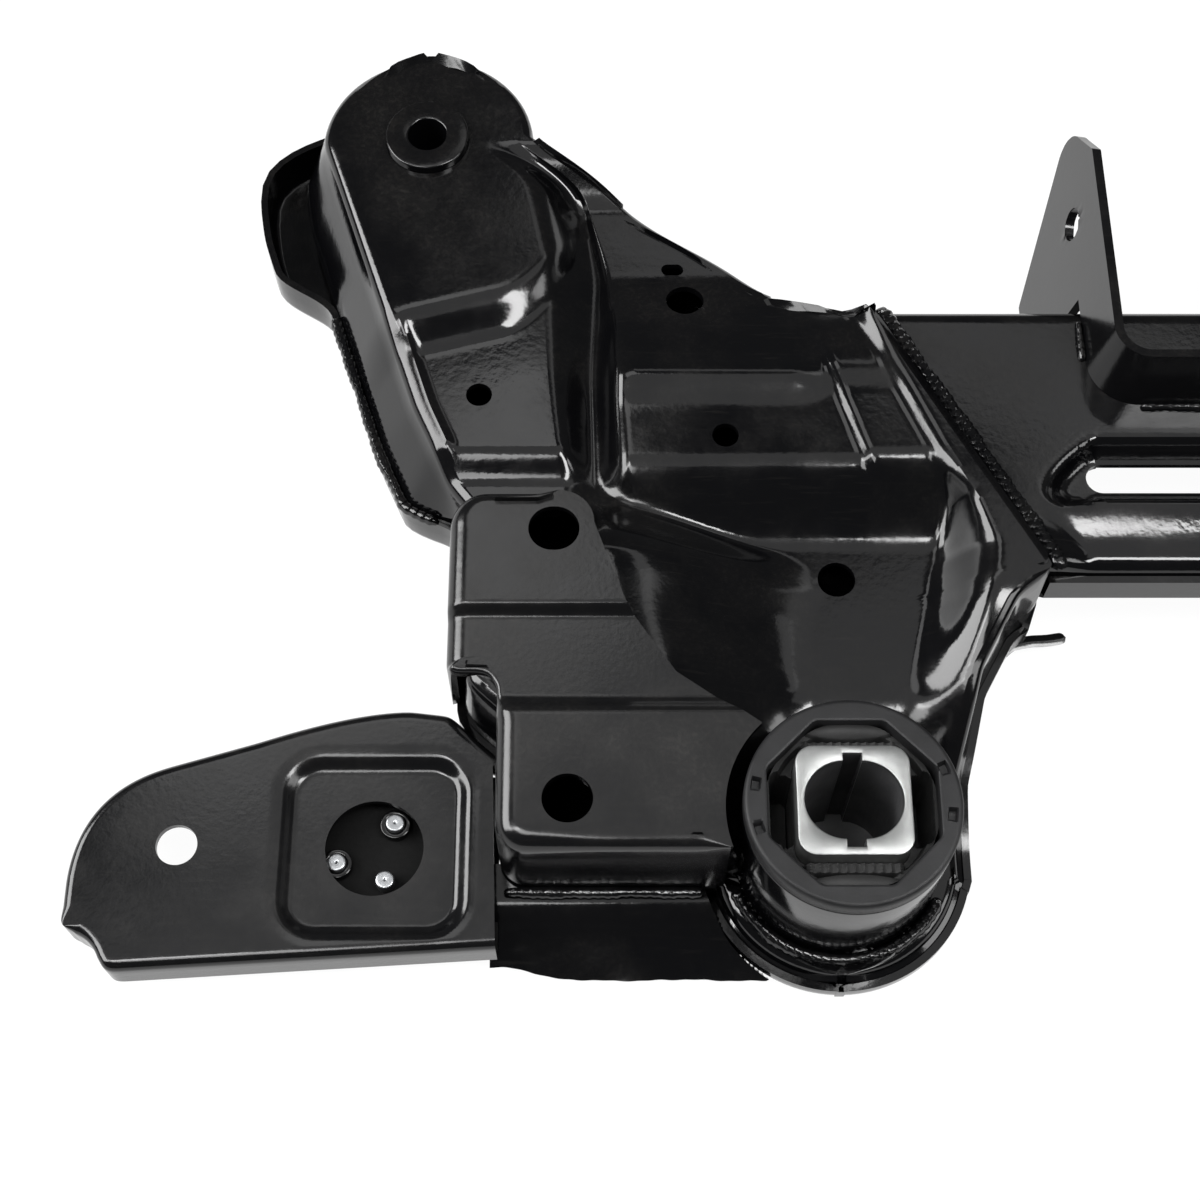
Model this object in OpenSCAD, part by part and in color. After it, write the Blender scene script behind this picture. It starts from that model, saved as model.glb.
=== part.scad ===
// Pressed-steel subframe of a car: two welded side boxes, each with an arm, a bush eye, a pad bracket
// and a wing bracket, joined by a box cross-member that carries a splayed clevis.
// +Z is up, X runs across the car with 0 on its centre plane, Y runs along the car with +Y towards the
// arms. Outlines give a distance from the centre plane for each place along Y.

/* [Sheet metal] */
// Thickness of the pressed side shells and the cross-member
sheet = 3; // [2:0.1:4]
// Thickness of the pad bracket and the wing bracket
bracket_sheet = 3; // [2:0.1:4]
// Thickness of the clevis plate
clevis_sheet = 4; // [3:0.1:6]
// Gap left in every lap joint
lap = 0.2; // [0.1:0.05:0.4]

/* [Side box] */
// Height of the arm's roof
roof_z = 60; // [56:0.5:66]
// Height of the flat pocket in the arm
pocket_z = 52; // [48:0.5:55]
// Height of the crease between the arm and the body
valley_z = 43; // [38:0.5:48]
// Height of the body's plateau
plateau_z = 57; // [53:0.5:60]
// Height of the lobe beside the plateau
lobe_z = 47; // [42:0.5:52]
// Height of the basin in front of the bush
basin_z = 40; // [34:0.5:46]
// Height of the flange round the bush tube
eye_z = 16; // [14:0.5:20]
// Height of the lower shell's rim
pan_rim = 22; // [18:0.5:26]
// Depth of the lap between the two shells
pan_lap = 8; // [4:0.5:12]
// How far the arm's outer wall slopes out
arm_draft = 20; // [10:0.5:26]
// How far the lower shell's lobe stands out beside the nose
lobe_out = 14; // [6:0.5:16]
// Radius of the arm's rounded nose
nose_r = 46; // [40:0.5:52]
// Nose centre, distance from the centre plane
nose_x = 325; // [315:1:335]
// Nose centre, along the car
nose_y = 156; // [150:1:162]

/* [Cross-member] */
// Height of the cross-member
cross_h = 60; // [52:0.5:62]
// Front face of the cross-member
cross_front = 69.5; // [60:0.5:72]
// Rear face of the cross-member
cross_rear = -50; // [-54:0.5:-44]
// Height of the cross-member's rear lower edge
cross_rear_z = 36; // [28:0.5:40]
// Front end of the seam, distance from the centre plane
seam_front_x = 138; // [132:0.5:142]
// Rear end of the seam, distance from the centre plane
seam_rear_x = 72.5; // [68:0.5:77]
// Length of the slot in the cross-member's channel
slot_l = 106; // [80:1:112]
// Width of that slot
slot_w = 13; // [8:0.5:18]
// Width of the channel that holds the slot
channel_w = 30; // [24:0.5:36]
// Depth of the channel
channel_depth = 9; // [5:0.5:12]
// Width of the weld along the seam
seam_weld_w = 7.5; // [5:0.5:9]

/* [Clevis] */
// Distance between the feet of the two cheeks, over the plate
clevis_w = 100; // [80:1:110]
// Height of the cheeks over the cross-member
clevis_h = 28; // [22:0.5:34]
// Reach of the cheeks in front of the cross-member
clevis_reach = 80; // [65:1:90]
// Inward lean of the cheeks, degrees
clevis_lean = 11; // [4:0.5:14]
// Bolt hole through both cheeks
clevis_bore = 14; // [10:0.5:16]

/* [Bush] */
// Bush axis, distance from the centre plane
bush_x = 158; // [152:0.5:164]
// Bush axis, along the car
bush_y = -154; // [-157:0.5:-151]
// Outside diameter of the bush tube
tube_d = 80; // [74:0.5:84]
// Wall of the bush tube
tube_wall = 3; // [2:0.1:4]
// Height of the bush rim
rim_z = 78; // [72:0.5:84]
// Thickness of the bush rim
rim_t = 8; // [5:0.5:10]
// Wall of the bush's outer sleeve
sleeve_wall = 4.5; // [3:0.1:6]
// Thickness of the rubber beside the aluminium core
rubber_wall = 11.1; // [9:0.1:13]
// Corner radius of the core
core_r = 7; // [3:0.5:10]
// Wall of the core beside its oval hole
core_wall = 3; // [2.5:0.1:6]
// How much lower than wide the oval hole is
core_hole_flat = 6.5; // [4:0.5:9]
// Width of the side voids in the rubber
void_w = 7; // [4:0.5:7.5]
// Width of the flange round the tube's foot
eye_flange = 8; // [5:0.5:12]

/* [Pad bracket] */
// Height of the two bolting pads
pad_z = 70; // [67:0.5:76]
// Depth of the recess between the pads
pad_step = 4; // [2:0.5:6]
// Diameter of the two pad holes
pad_bore = 19; // [14:0.5:24]
// Outer wall of the bracket's front part
pad_out = 309; // [307:0.5:312]
// Outer wall of the bracket's rear part
pad_in = 289; // [286:0.5:292]
// Front edge of the bracket
pad_front = -22; // [-26:0.5:-18]
// Rear wall of the bracket
pad_rear = -169; // [-171:0.5:-168]

/* [Wing bracket] */
// Centre plane to the wing's tip
half_w = 454; // [440:1:470]
// Height of the wing's plate
wing_z = 30; // [27:0.5:34]
// Depth of the wing's turned-down flange
wing_flange = 18; // [12:0.5:22]
// Diameter of the large hole
wing_bore = 38; // [30:0.5:44]
// Diameter of the small hole
tip_bore = 16; // [10:0.5:20]
// Large hole, distance from the centre plane
wing_bore_x = 337; // [333:0.5:345]
// Small hole, distance from the wing's tip
tip_inset = 41.5; // [36:0.5:52]
// Line of the two holes along the car
wing_bore_y = -155; // [-159:0.5:-151]
// Width of the pressed pad round the large hole
dish_w = 72; // [62:0.5:76]
// Depth of that pad
dish_depth = 4; // [2:0.5:6]
// Diameter of the locating pins
pin_d = 7.5; // [5:0.5:9]
// Wall of the sleeves on two of the pins
pin_sleeve_wall = 2; // [1:0.1:3]

/* [Arm mount] */
// Outside diameter of the mounting sleeve in the nose
mount_d = 36; // [30:0.5:42]
// Bore of the mounting sleeve
mount_bore = 16.5; // [12:0.5:20]
// Height of the mounting sleeve over the roof
mount_rise = 4; // [2:0.5:8]

/* [Hidden] */

// Places along the outlines
wall_run = 2;
end_run = wall_run + 0.7;
seam_front = [seam_front_x, cross_front - 1];
seam_rear = [seam_rear_x, cross_rear - 2.4];
eye_r = tube_d / 2 + eye_flange;
bush = [bush_x, bush_y];
shell_out = pad_out - bracket_sheet - 2 * wall_run;
shell_in = pad_in - bracket_sheet - 2 * wall_run;
shell_rear = pad_rear + bracket_sheet + 3;
notch_y = -109;
shelf_z = pad_z - pad_step - bracket_sheet - lap;
seam_z = cross_h + lap + sheet;

// Smooth step from 0 at a to 1 at b
function ramp(a, b, v) = let (t = min(1, max(0, (v - a) / (b - a)))) t * t * (3 - 2 * t);
function mix(a, b, t) = a + (b - a) * t;
function unit(v) = v / norm(v);

// The side box in plan: its outer edge, its inner edge and the crease between arm and body
outer_line = [
    [nose_y, nose_x + nose_r], [27, 328], [-6, 313], [pad_front + 2, shell_out],
    [notch_y + 9, shell_out], [notch_y - 9, shell_in], [shell_rear, shell_in],
];
inner_line = [
    [nose_y, nose_x - nose_r], [cross_front + 67.5, 246], [cross_front + 50.5, 228],
    [cross_front + 31.5, 198], [cross_front + 10.5, 173], [cross_front + 5.5, 146],
    [seam_front.y, seam_front.x], [seam_rear.y, seam_rear.x],
    [seam_rear.y - 10, seam_rear.x + 13.5], [seam_rear.y - 36, seam_rear.x + 28],
    [bush_y + 28, bush_x - eye_r], [shell_rear, bush_x - eye_r],
];
nose_crease = -0.75;
eye_crease = 0.9;
crease_line = [
    [nose_y, nose_x + nose_crease * nose_r], [137, 258], [94, 251], [44, 253], [-6, 252], [-36, 248],
    [-70, 240], [notch_y - 9, 222], [shell_rear, 222],
];

// Rows of the side box from the nose to the bush eye: [outer x, crease x, inner x, y]
function chord(centre, r, a, crease) = let (h = r * cos(a))
    [centre.x + h, centre.x + crease * h, centre.x - h, centre.y + r * sin(a)];
function line_row(y) = [lookup(y, outer_line), lookup(y, crease_line), lookup(y, inner_line), y];
function line_rows(y0, y1, n) = [for (i = [1 : n]) line_row(mix(y0, y1, i / n))];
eye_start = asin((shell_rear - 2 - bush_y) / eye_r);
front_rows = concat([for (i = [0 : 3]) chord([nose_x, nose_y], nose_r, 80 - 20 * i, nose_crease * i / 4)],
                    [line_row(nose_y)], line_rows(nose_y, seam_front.y, 9));
seam_rows = line_rows(seam_front.y, seam_rear.y, 12);
rear_rows = concat(line_rows(seam_rear.y, notch_y + 9, 4), line_rows(notch_y + 9, notch_y - 9, 2),
                   line_rows(notch_y - 9, shell_rear, 3));
eye_rows = [for (i = [0 : 4]) chord(bush, eye_r, mix(eye_start, -80, i / 4), eye_crease * (1 - i / 4))];
rows = concat(front_rows, seam_rows, rear_rows, eye_rows);
n_rows = len(rows);
seam_from = len(front_rows) - 1;
seam_to = seam_from + len(seam_rows);
corner_row = seam_to + len(rear_rows);

// Outward plan normal of the outer (column 0) or inner (column 2) edge at one row
function edge_point(col, i) = [rows[i][col], rows[i][3]];
function edge_normal(col, i) =
    let (d = unit(edge_point(col, min(n_rows - 1, i + 1)) - edge_point(col, max(0, i - 1))))
    col == 0 ? [-d.y, d.x] : [d.y, -d.x];
function is_seam(i) = i >= seam_from && i <= seam_to;
function edge_run(col, y) =
    col == 0 ? mix(wall_run, arm_draft, ramp(-14, 4, y) * ramp(nose_y + nose_r, nose_y - 20, y)) : wall_run;
function lobe(y) = lobe_out * ramp(nose_y - 61, nose_y - 31, y) * ramp(nose_y + 34, nose_y + 4, y);

// Heights of the pressing
function rim(y, col = 0) =
    mix(eye_z - 5, pan_rim, col == 0 ? ramp(bush_y - 6, bush_y + 4, y) : ramp(bush_y - 2, notch_y, y));
function lip(y, col = 0) = max(rim(y, col) - pan_lap, sheet + pan_corner);
function foot(y, z, col = 0) = min(rim(y, col) + 2, z - bend - 3);
function arm_top(y) =
    mix(shelf_z, mix(mix(valley_z + 3, pocket_z, ramp(-6, 5, y)), roof_z, ramp(47, 67, y)),
        ramp(pad_front - 18, pad_front, y));
function crease_top(y) = mix(shelf_z, valley_z, ramp(-45, -5, y));
function body_top(y, share) =
    let (lobe = mix(plateau_z + 2, lobe_z, ramp(cross_front - 25, cross_front + 5, y)),
         plateau = mix(plateau_z, lobe, ramp(cross_front - 32, cross_front - 28, y)),
         basin = mix(basin_z, plateau, ramp(-28, -2, y)),
         rib = mix(basin, min(basin + 4, seam_z), ramp(0.66, 0.71, share)),
         seam = mix(rib, seam_z, ramp(0.80, 0.90, share)
                    * ramp(seam_rear.y - 26, seam_rear.y, y) * ramp(seam_front.y + 12, seam_front.y, y)))
    mix(eye_z, seam, ramp(bush_y - 2, notch_y + 14, y));
function pressing(x, row) =
    let (y = row[3], crease = mix(eye_z, crease_top(y), ramp(shell_rear - 1, shell_rear, y)),
         top = mix(eye_z, arm_top(y), ramp(shell_rear - 1, shell_rear, y)),
         arm_share = (x - row[1]) / (row[0] - row[1]), share = (row[1] - x) / (row[1] - row[2]),
         z = x > row[1] ? mix(crease, top, ramp(0, 0.22, arm_share))
                        : mix(crease, body_top(y, share), ramp(0, mix(0.5, 0.14, ramp(-45, -5, y)), share)))
    mix(z, roof_z, ramp(nose_y - 30, nose_y, y));

// A closed sheet between two grids of points, upper above lower
module sheet_between(upper, lower) {
    n = len(upper);
    m = len(upper[0]);
    all = concat([for (r = upper) each r], [for (r = lower) each r]);
    function cell(i, k, o) = [o + i * m + k, o + (i + 1) * m + k, o + (i + 1) * m + k + 1, o + i * m + k + 1];
    function two(q) = [[q[0], q[1], q[2]], [q[0], q[2], q[3]]];
    function wall(a, b) = two([a, b, b + n * m, a + n * m]);
    polyhedron(all, concat(
        [for (i = [0 : n - 2], k = [0 : m - 2]) each two(cell(i, k, 0))],
        [for (i = [0 : n - 2], k = [0 : m - 2]) for (f = two(cell(i, k, n * m))) [f[2], f[1], f[0]]],
        [for (k = [0 : m - 2]) each wall(k, k + 1)],
        [for (k = [0 : m - 2]) each wall((n - 1) * m + k + 1, (n - 1) * m + k)],
        [for (i = [0 : n - 2]) each wall((i + 1) * m, i * m)],
        [for (i = [0 : n - 2]) each wall(i * m + m - 1, (i + 1) * m + m - 1)]));
}

// One row of the upper shell's outside, or of its inside when t is the sheet's thickness
arm_cells = 6;
body_cells = 10;
bend = 4;
function at(p, z) = [p.x, p.y, z];
function top_row(row, t) = [
    for (k = [0 : arm_cells + body_cells])
        let (in_o = 0.02 + min(0.1, t / (row[0] - row[1])), in_n = 0.02 + min(0.05, t / (row[1] - row[2])),
             x = k < arm_cells ? mix(row[0], row[1], max(in_o, k / arm_cells))
                               : mix(row[1], row[2], min(1 - in_n, (k - arm_cells) / body_cells)))
        [x, row[3], pressing(x, row) - t]];
function upper_row(i, t) =
    let (row = rows[i], y = row[3], o = edge_point(0, i), no = edge_normal(0, i), ro = edge_run(0, y),
         n = edge_point(2, i), ni = edge_normal(2, i), turn = i == corner_row || i == corner_row + 1 ? t : 0,
         in = 0.8 * t, zo = min(pressing(o.x, row), pressing(o.x - in - 1, row)),
         zn = min(pressing(n.x, row), pressing(n.x + in + 1, row)))
    [for (p = concat(
        [at(o + no * (ro - t), lip(y)), at(o + no * (ro - t), foot(y, zo)),
         at(o + no * (0.12 * ro - in), zo - bend - in / 2)],
        top_row(row, t),
        is_seam(i)
            ? [for (d = [2, 1, 0]) at(n - ni * d * 0.5, seam_z - t)]
            : [at(n + ni * (0.12 * wall_run - in), zn - bend - in / 2),
               at(n + ni * (wall_run - t), foot(y, zn, 2)), at(n + ni * (wall_run - t), lip(y, 2))]))
        p + [0, turn, 0]];
function closing_row(i, way, t) = [for (p = upper_row(i, t))
    [p.x, rows[i][3] + way * (end_run - t), lip(rows[i][3]) + 0.03 * (p.z - lip(rows[i][3]))]];
function upper_grid(t) = concat([closing_row(0, 1, t)], [for (i = [0 : n_rows - 1]) upper_row(i, t)],
                                [closing_row(n_rows - 1, -1, t)]);

// Holes of the upper shell: [x, y, diameter]
shell_holes = [[300, 32, 10.7], [199, 10, 10.7], [155, -47, 15.3], [214, 80, 17.8], [219, 97, 8]];
module bore_z(p, d) translate([p.x, p.y, -1]) cylinder(d = d, h = 2 * cross_h, $fn = 64);

module upper_shell() {
    difference() {
        sheet_between(upper_grid(0), upper_grid(sheet));
        for (h = shell_holes) bore_z(h, h[2]);
        for (h = pad_holes) bore_z(h, pad_bore + 3);
        bore_z(bush, tube_d + 2 * lap);
        bore_z([nose_x, nose_y], mount_d + 2 * lap);
    }
}

// Height of the cross-member's underside, which the lower shell's edge at the seam rises to
under_run = 22;
function under(y) = cross_rear_z * min(1, max(0, (cross_rear + under_run - y) / under_run));
// The lower shell's edge at the seam: flat, or a wall of height h
function seam_wall(n, ni, h, t) = let (s = min(1, h / 10), c = pan_corner)
    [at(n - ni * mix(2.1, c + t + 0.1, s), t),
     at(n - ni * mix(1.1, t + 0.1, s), t + max(0, min(c, 0.8 * h - t))),
     at(n - ni * mix(0.1, t + 0.1, s), max(t, h - 2 * lap))];
// One row of the lower shell; t is 0 on its outside and the sheet's thickness on its inside
pan_corner = 5;
function pan_row(i, t) =
    let (y = rows[i][3], o = edge_point(0, i), no = edge_normal(0, i), n = edge_point(2, i),
         ni = edge_normal(2, i), so = edge_run(0, y) + lobe(y) + lap + sheet - t,
         sn = wall_run + (i == seam_to + 1 ? 4 * lap : lap) + sheet - t, c = pan_corner - t / 3)
    concat([at(o + no * so, rim(y)), at(o + no * so, c + t), at(o + no * (so - c), t)],
           is_seam(i)
               ? seam_wall(n, ni, under(y), t)
               : [at(n + ni * (sn - c), t), at(n + ni * sn, c + t), at(n + ni * sn, rim(y, 2))]);
function pan_end(i, way, t, up) = let (top = rim(rows[i][3]), d = end_run + 2 * lap + sheet - t)
    [for (p = pan_row(i, t))
        [p.x, rows[i][3] + way * d * (0.9 + 0.1 * up), mix(p.z, top - 0.03 * (top - p.z), up)]];
function pan_grid(t) = concat([pan_end(0, 1, t, 1), pan_end(0, 1, t, 0)],
                              [for (i = [0 : n_rows - 1]) pan_row(i, t)],
                              [pan_end(n_rows - 1, -1, t, 0), pan_end(n_rows - 1, -1, t, 1)]);
bush_drain = 12;
module lower_shell() {
    difference() {
        sheet_between(pan_grid(sheet), pan_grid(0));
        bore_z(bush, bush_drain);
        bore_z([nose_x, nose_y], mount_bore);
    }
}

// A profile in the Y-Z plane carried along X from x0 to x1
module along_x(x0, x1) translate([x0, 0, 0]) rotate([90, 0, 90]) linear_extrude(x1 - x0) children();
function arc(c, r, a0, a1, n = 6) = [for (i = [0 : n]) let (a = mix(a0, a1, i / n)) c + r * [cos(a), sin(a)]];
function curve(a, b, c, n = 8) = [for (i = [0 : n]) let (t = i / n) mix(mix(a, b, t), mix(b, c, t), t)];
module stadium(l, w) {
    square([l - w, w], center = true);
    for (s = [-1, 1]) translate([s * (l - w) / 2, 0]) circle(d = w, $fn = 48);
}
module rounded(w, h, r) {
    square([w - 2 * r, h], center = true);
    square([w, h - 2 * r], center = true);
    for (x = [-1, 1], y = [-1, 1]) translate([x * (w / 2 - r), y * (h / 2 - r)]) circle(r, $fn = 48);
}
// A dish pressed to a depth, narrowing by as much on each side
module dish(l, w, r, depth) hull() {
    linear_extrude(0.01) offset(r, $fn = 32) square([l - 2 * r, w - 2 * r], center = true);
    translate([0, 0, -depth]) linear_extrude(0.01)
        offset(r - depth, $fn = 32) square([l - 2 * r, w - 2 * r], center = true);
}

// Pad bracket: two bolting pads, a recess between them, and turned-down walls
pad_bend = 5;
pad_step_y = [-73, -112];
pad_slope = [2.5, 4];
pad_foot = pan_rim + 0.3;
pad_front_foot = 52;
pad_clear = 6;
pad_corner = 14;
function pad_profile(t) = let (r = pad_bend - t, z = pad_z - t) concat(
    [[pad_front - t, pad_front_foot]], arc([pad_front - pad_bend, pad_z - pad_bend], r, 0, 90),
    [[pad_step_y[0] + pad_slope[0] - t / 4, z], [pad_step_y[0] - pad_slope[0] - t / 4, z - pad_step],
     [pad_step_y[1] + pad_slope[1] + t / 4, z - pad_step], [pad_step_y[1] - pad_slope[1] + t / 4, z]],
    arc([pad_rear + pad_bend, pad_z - pad_bend], r, 90, 180), [[pad_rear + t, pad_foot]]);
function turned(list) = [for (i = [len(list) - 1 : -1 : 0]) list[i]];
pad_outline = concat(
    [[pad_in, pad_rear], [pad_in, notch_y - 9], [pad_out, notch_y + 9]],
    arc([pad_out - pad_corner, pad_front - pad_corner], pad_corner, 0, 90),
    arc([pad_out - 3 * pad_corner, pad_front - pad_corner], pad_corner, 90, 180, 4),
    [[pad_out - 63, -54], [pad_out - 69, -70], [pad_out - 88, -98], [bush_x + 28, bush_y + 28],
     [bush_x + 28, pad_rear]]);
pad_holes = [[268, -39], [262, -150]];
module pad_plan() difference() {
    polygon(pad_outline);
    translate(bush) circle(r = tube_d / 2 + pad_clear, $fn = 96);
}
module pad_bracket() difference() {
    union() {
        intersection() {
            along_x(bush_x, pad_out + 1) polygon(concat(pad_profile(0), turned(pad_profile(bracket_sheet))));
            linear_extrude(pad_z + 1) pad_plan();
        }
        intersection() {
            along_x(bush_x, pad_out + 1) polygon(concat([[pad_front, pad_foot]], pad_profile(0)));
            linear_extrude(pad_z + 1) polygon([
                [pad_in, pad_rear], [pad_in, notch_y - 9], [pad_out, notch_y + 9],
                [pad_out, pad_front - pad_corner],
                [pad_out - bracket_sheet, pad_front - pad_corner], [pad_out - bracket_sheet, notch_y + 9],
                [pad_in - bracket_sheet, notch_y - 9], [pad_in - bracket_sheet, pad_rear]]);
        }
    }
    for (h = pad_holes) translate([0, 0, pad_z - 15]) bore_z(h, pad_bore);
}

// Wing bracket: a plate with a turned-down edge and a pressed pad
wing_in = pad_in + 2 * lap;
wing_clear = 0.9;
wing_front_in = notch_y - 9 - wing_clear;
wing_span = half_w - pad_out;
tip_bore_x = half_w - tip_inset;
wing_notch_r = 16;
wing_rear_in = -195;
wing_rear_out = -204;
wing_front = -99;
wing_outline = concat(
    [[wing_in, wing_rear_in], [half_w - wing_notch_r, wing_rear_out], [half_w, wing_rear_out]],
    curve([half_w, wing_rear_out + 36], [half_w - 2, wing_rear_out + 72],
          [half_w - 0.25 * wing_span, wing_rear_out + 82]),
    curve([half_w - 0.48 * wing_span, wing_front - 13], [half_w - 0.74 * wing_span, wing_front],
          [half_w - 0.89 * wing_span, wing_front]),
    [[pad_out + 2 * lap, notch_y + 9 - wing_clear], [wing_in, wing_front_in]]);
wing_floor = wing_z - wing_flange;
module wing_plan() difference() {
    polygon(wing_outline);
    translate([half_w, wing_rear_out]) circle(wing_notch_r, $fn = 48);
}
module wing_inside(gap) {
    t = bracket_sheet + gap;
    offset(delta = -t) wing_plan();
    translate([wing_in, wing_rear_in + t]) square([2 * t, wing_front_in - wing_rear_in - 2 * t]);
}
module wing_bracket() difference() {
    union() {
        difference() {
            translate([0, 0, wing_floor]) linear_extrude(wing_flange) wing_plan();
            translate([0, 0, wing_floor - 1]) linear_extrude(wing_flange - bracket_sheet + 1) wing_inside(0);
        }
        translate([wing_bore_x, wing_bore_y, wing_z - bracket_sheet]) dish(dish_w, dish_w, 15, dish_depth);
    }
    translate([wing_bore_x, wing_bore_y, wing_z]) dish(dish_w, dish_w, 15, dish_depth);
    bore_z([wing_bore_x, wing_bore_y], wing_bore);
    bore_z([tip_bore_x, wing_bore_y], tip_bore);
}
module wing_plate() translate([0, 0, wing_floor]) linear_extrude(bracket_sheet) intersection() {
    wing_inside(lap);
    translate([wing_in, wing_rear_out])
        square([wing_bore_x + dish_w / 2 + 8 - wing_in, wing_front - wing_rear_out]);
}
pin_places = [[-7, 12], [15, -4], [-4, -11]];
pin_h = 6;
module at_pins(list) for (p = list)
    translate([wing_bore_x + p.x, wing_bore_y + p.y, wing_floor + bracket_sheet + lap]) children();
module wing_pins() at_pins(pin_places) cylinder(d = pin_d, h = pin_h, $fn = 32);
module pin_sleeves() at_pins([pin_places[0], pin_places[1]]) difference() {
    cylinder(d = pin_d + 2 * (lap + pin_sleeve_wall), h = pin_h - 2, $fn = 32);
    translate([0, 0, -1]) cylinder(d = pin_d + 2 * lap, h = pin_h, $fn = 32);
}

// Bush: a tube welded into the side box, and a sleeve, rubber and aluminium core pressed into it
tube_z = sheet + lap;
sleeve_z = tube_z + 8;
rubber_drop = 5;
core_rise = 2;
sleeve_od = tube_d - 2 * (tube_wall + lap);
rubber_d = sleeve_od - 2 * (sleeve_wall + lap);
core_w = rubber_d - 2 * rubber_wall;
core_hole_w = core_w - 2 * core_wall;
core_hole_h = core_hole_w - core_hole_flat;
module at_bush(z) translate([bush_x, bush_y, z]) children();
module bush_tube() at_bush(0) rotate_extrude($fn = 96) translate([tube_d / 2 - tube_wall, tube_z])
    square([tube_wall, rim_z - rim_t - lap - tube_z]);
module bush_sleeve() at_bush(0) rotate_extrude($fn = 96) polygon([
    [sleeve_od / 2 - sleeve_wall, sleeve_z], [sleeve_od / 2, sleeve_z], [sleeve_od / 2, rim_z - rim_t],
    [tube_d / 2, rim_z - rim_t], [tube_d / 2, rim_z - 2], [tube_d / 2 - 2, rim_z],
    [sleeve_od / 2 - sleeve_wall, rim_z]]);
module bush_rubber() at_bush(sleeve_z) linear_extrude(rim_z - rubber_drop - sleeve_z) difference() {
    circle(d = rubber_d, $fn = 96);
    rounded(core_w + 2 * lap, core_w + 2 * lap, core_r);
    for (s = [-1, 1]) translate([s * (core_w / 2 + void_w / 2), 0])
        square([void_w, core_w - 2 * core_r - 4], center = true);
}
key_w = 7;
key_depth = 3;
module bush_core() at_bush(sleeve_z) linear_extrude(rim_z + core_rise - sleeve_z) difference() {
    rounded(core_w, core_w, core_r);
    stadium(core_hole_w, core_hole_h);
    square([key_w, core_hole_h + 2 * key_depth], center = true);
}

// Mounting sleeve in the arm's nose
module arm_sleeve() translate([nose_x, nose_y, tube_z]) difference() {
    cylinder(d = mount_d, h = roof_z + mount_rise - tube_z, $fn = 64);
    translate([0, 0, -1]) cylinder(d = mount_bore, h = 2 * roof_z, $fn = 64);
}

// Welds: a low arched bead over a path; each path row is [outer point, inner point, z]
bead_h = 3.2;
module bead(path) sheet_between(
    [for (p = path) [at(p[0], p[2] + 0.8), at((p[0] + p[1]) / 2, p[2] + bead_h), at(p[1], p[2] + 0.8)]],
    [for (p = path) [at(p[0], p[2]), at((p[0] + p[1]) / 2, p[2]), at(p[1], p[2])]]);
module arm_weld() bead([for (i = [4 : corner_row]) if (rows[i][3] > pad_front + 12 && lobe(rows[i][3]) < lap)
    let (o = edge_point(0, i), n = edge_normal(0, i), r = edge_run(0, rows[i][3]) + lap)
    [o + n * (r + sheet + 1.5), o + n * (r + 0.1), rim(rows[i][3]) + lap]]);
module seam_weld() bead([for (p = [seam_front, seam_rear]) let (in = p - [0.4, 0])
    [in, in - [seam_weld_w, 0], cross_h + lap]]);
module eye_weld() at_bush(eye_z + lap) rotate([0, 0, 205]) rotate_extrude(angle = 135, $fn = 96)
    translate([tube_d / 2 + lap, 0]) polygon([[0, 0], [5, 0], [4, 2], [2, 4], [0, 5]]);
pad_weld_r = 3;
module pad_weld() translate([0, pad_rear - lap, pad_foot]) along_x(bush_x + eye_r + 4, pad_in) intersection() {
    circle(pad_weld_r, $fn = 32);
    translate([-2 * pad_weld_r, -pad_weld_r]) square(2 * pad_weld_r);
}

// Cross-member: an upper and a lower channel between the two seams
cross_r = 7;
tongue = 6;
cross_gap = 0.3;
cross_lap = 7;
slot_y = -7;
// Opening of the lower channel, under the slot and in front of it
under_slot = [44, 10];
function seam_x(y) = mix(seam_front.x, seam_rear.x, (y - seam_front.y) / (seam_rear.y - seam_front.y));
module cross_plan(reach) {
    y = [cross_rear - 20, cross_front + 20];
    polygon([for (p = [[1, 0], [1, 1], [-1, 1], [-1, 0]]) [p[0] * (seam_x(y[p[1]]) + reach), y[p[1]]]]);
}
function hat(t) = let (r = cross_r - t) concat(
    [[cross_rear + t, cross_rear_z + cross_lap]], arc([cross_rear + cross_r, cross_h - cross_r], r, 180, 90),
    arc([cross_front - cross_r, cross_h - cross_r], r, 90, 0), [[cross_front - t, lip(0)]]);
function trough(t) = let (w = lap + sheet - t, r = cross_r - t) concat(
    [[cross_rear - w, cross_rear_z + 2 * cross_lap], [cross_rear - w, cross_rear_z + t],
     [cross_rear + under_run - w + 3 * lap, t]],
    arc([cross_front + w - r, t + r], r, 270, 360), [[cross_front + w, pan_rim]]);
module crossmember_upper() difference() {
    union() {
        intersection() {
            along_x(-2 * nose_x, 2 * nose_x) polygon(concat(hat(0), turned(hat(sheet))));
            linear_extrude(2 * cross_h) {
                cross_plan(-cross_gap);
                intersection() {
                    cross_plan(tongue);
                    translate([-nose_x, cross_rear + cross_r])
                        square([2 * nose_x, cross_front - cross_rear - 2 * cross_r]);
                }
            }
        }
        translate([0, slot_y, cross_h - sheet])
            dish(slot_l + channel_w - slot_w, channel_w, channel_w / 2 - 0.5, channel_depth);
    }
    translate([0, slot_y, cross_h])
        dish(slot_l + channel_w - slot_w, channel_w, channel_w / 2 - 0.5, channel_depth);
    translate([0, slot_y, cross_h / 2]) linear_extrude(cross_h) stadium(slot_l, slot_w);
}
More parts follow.
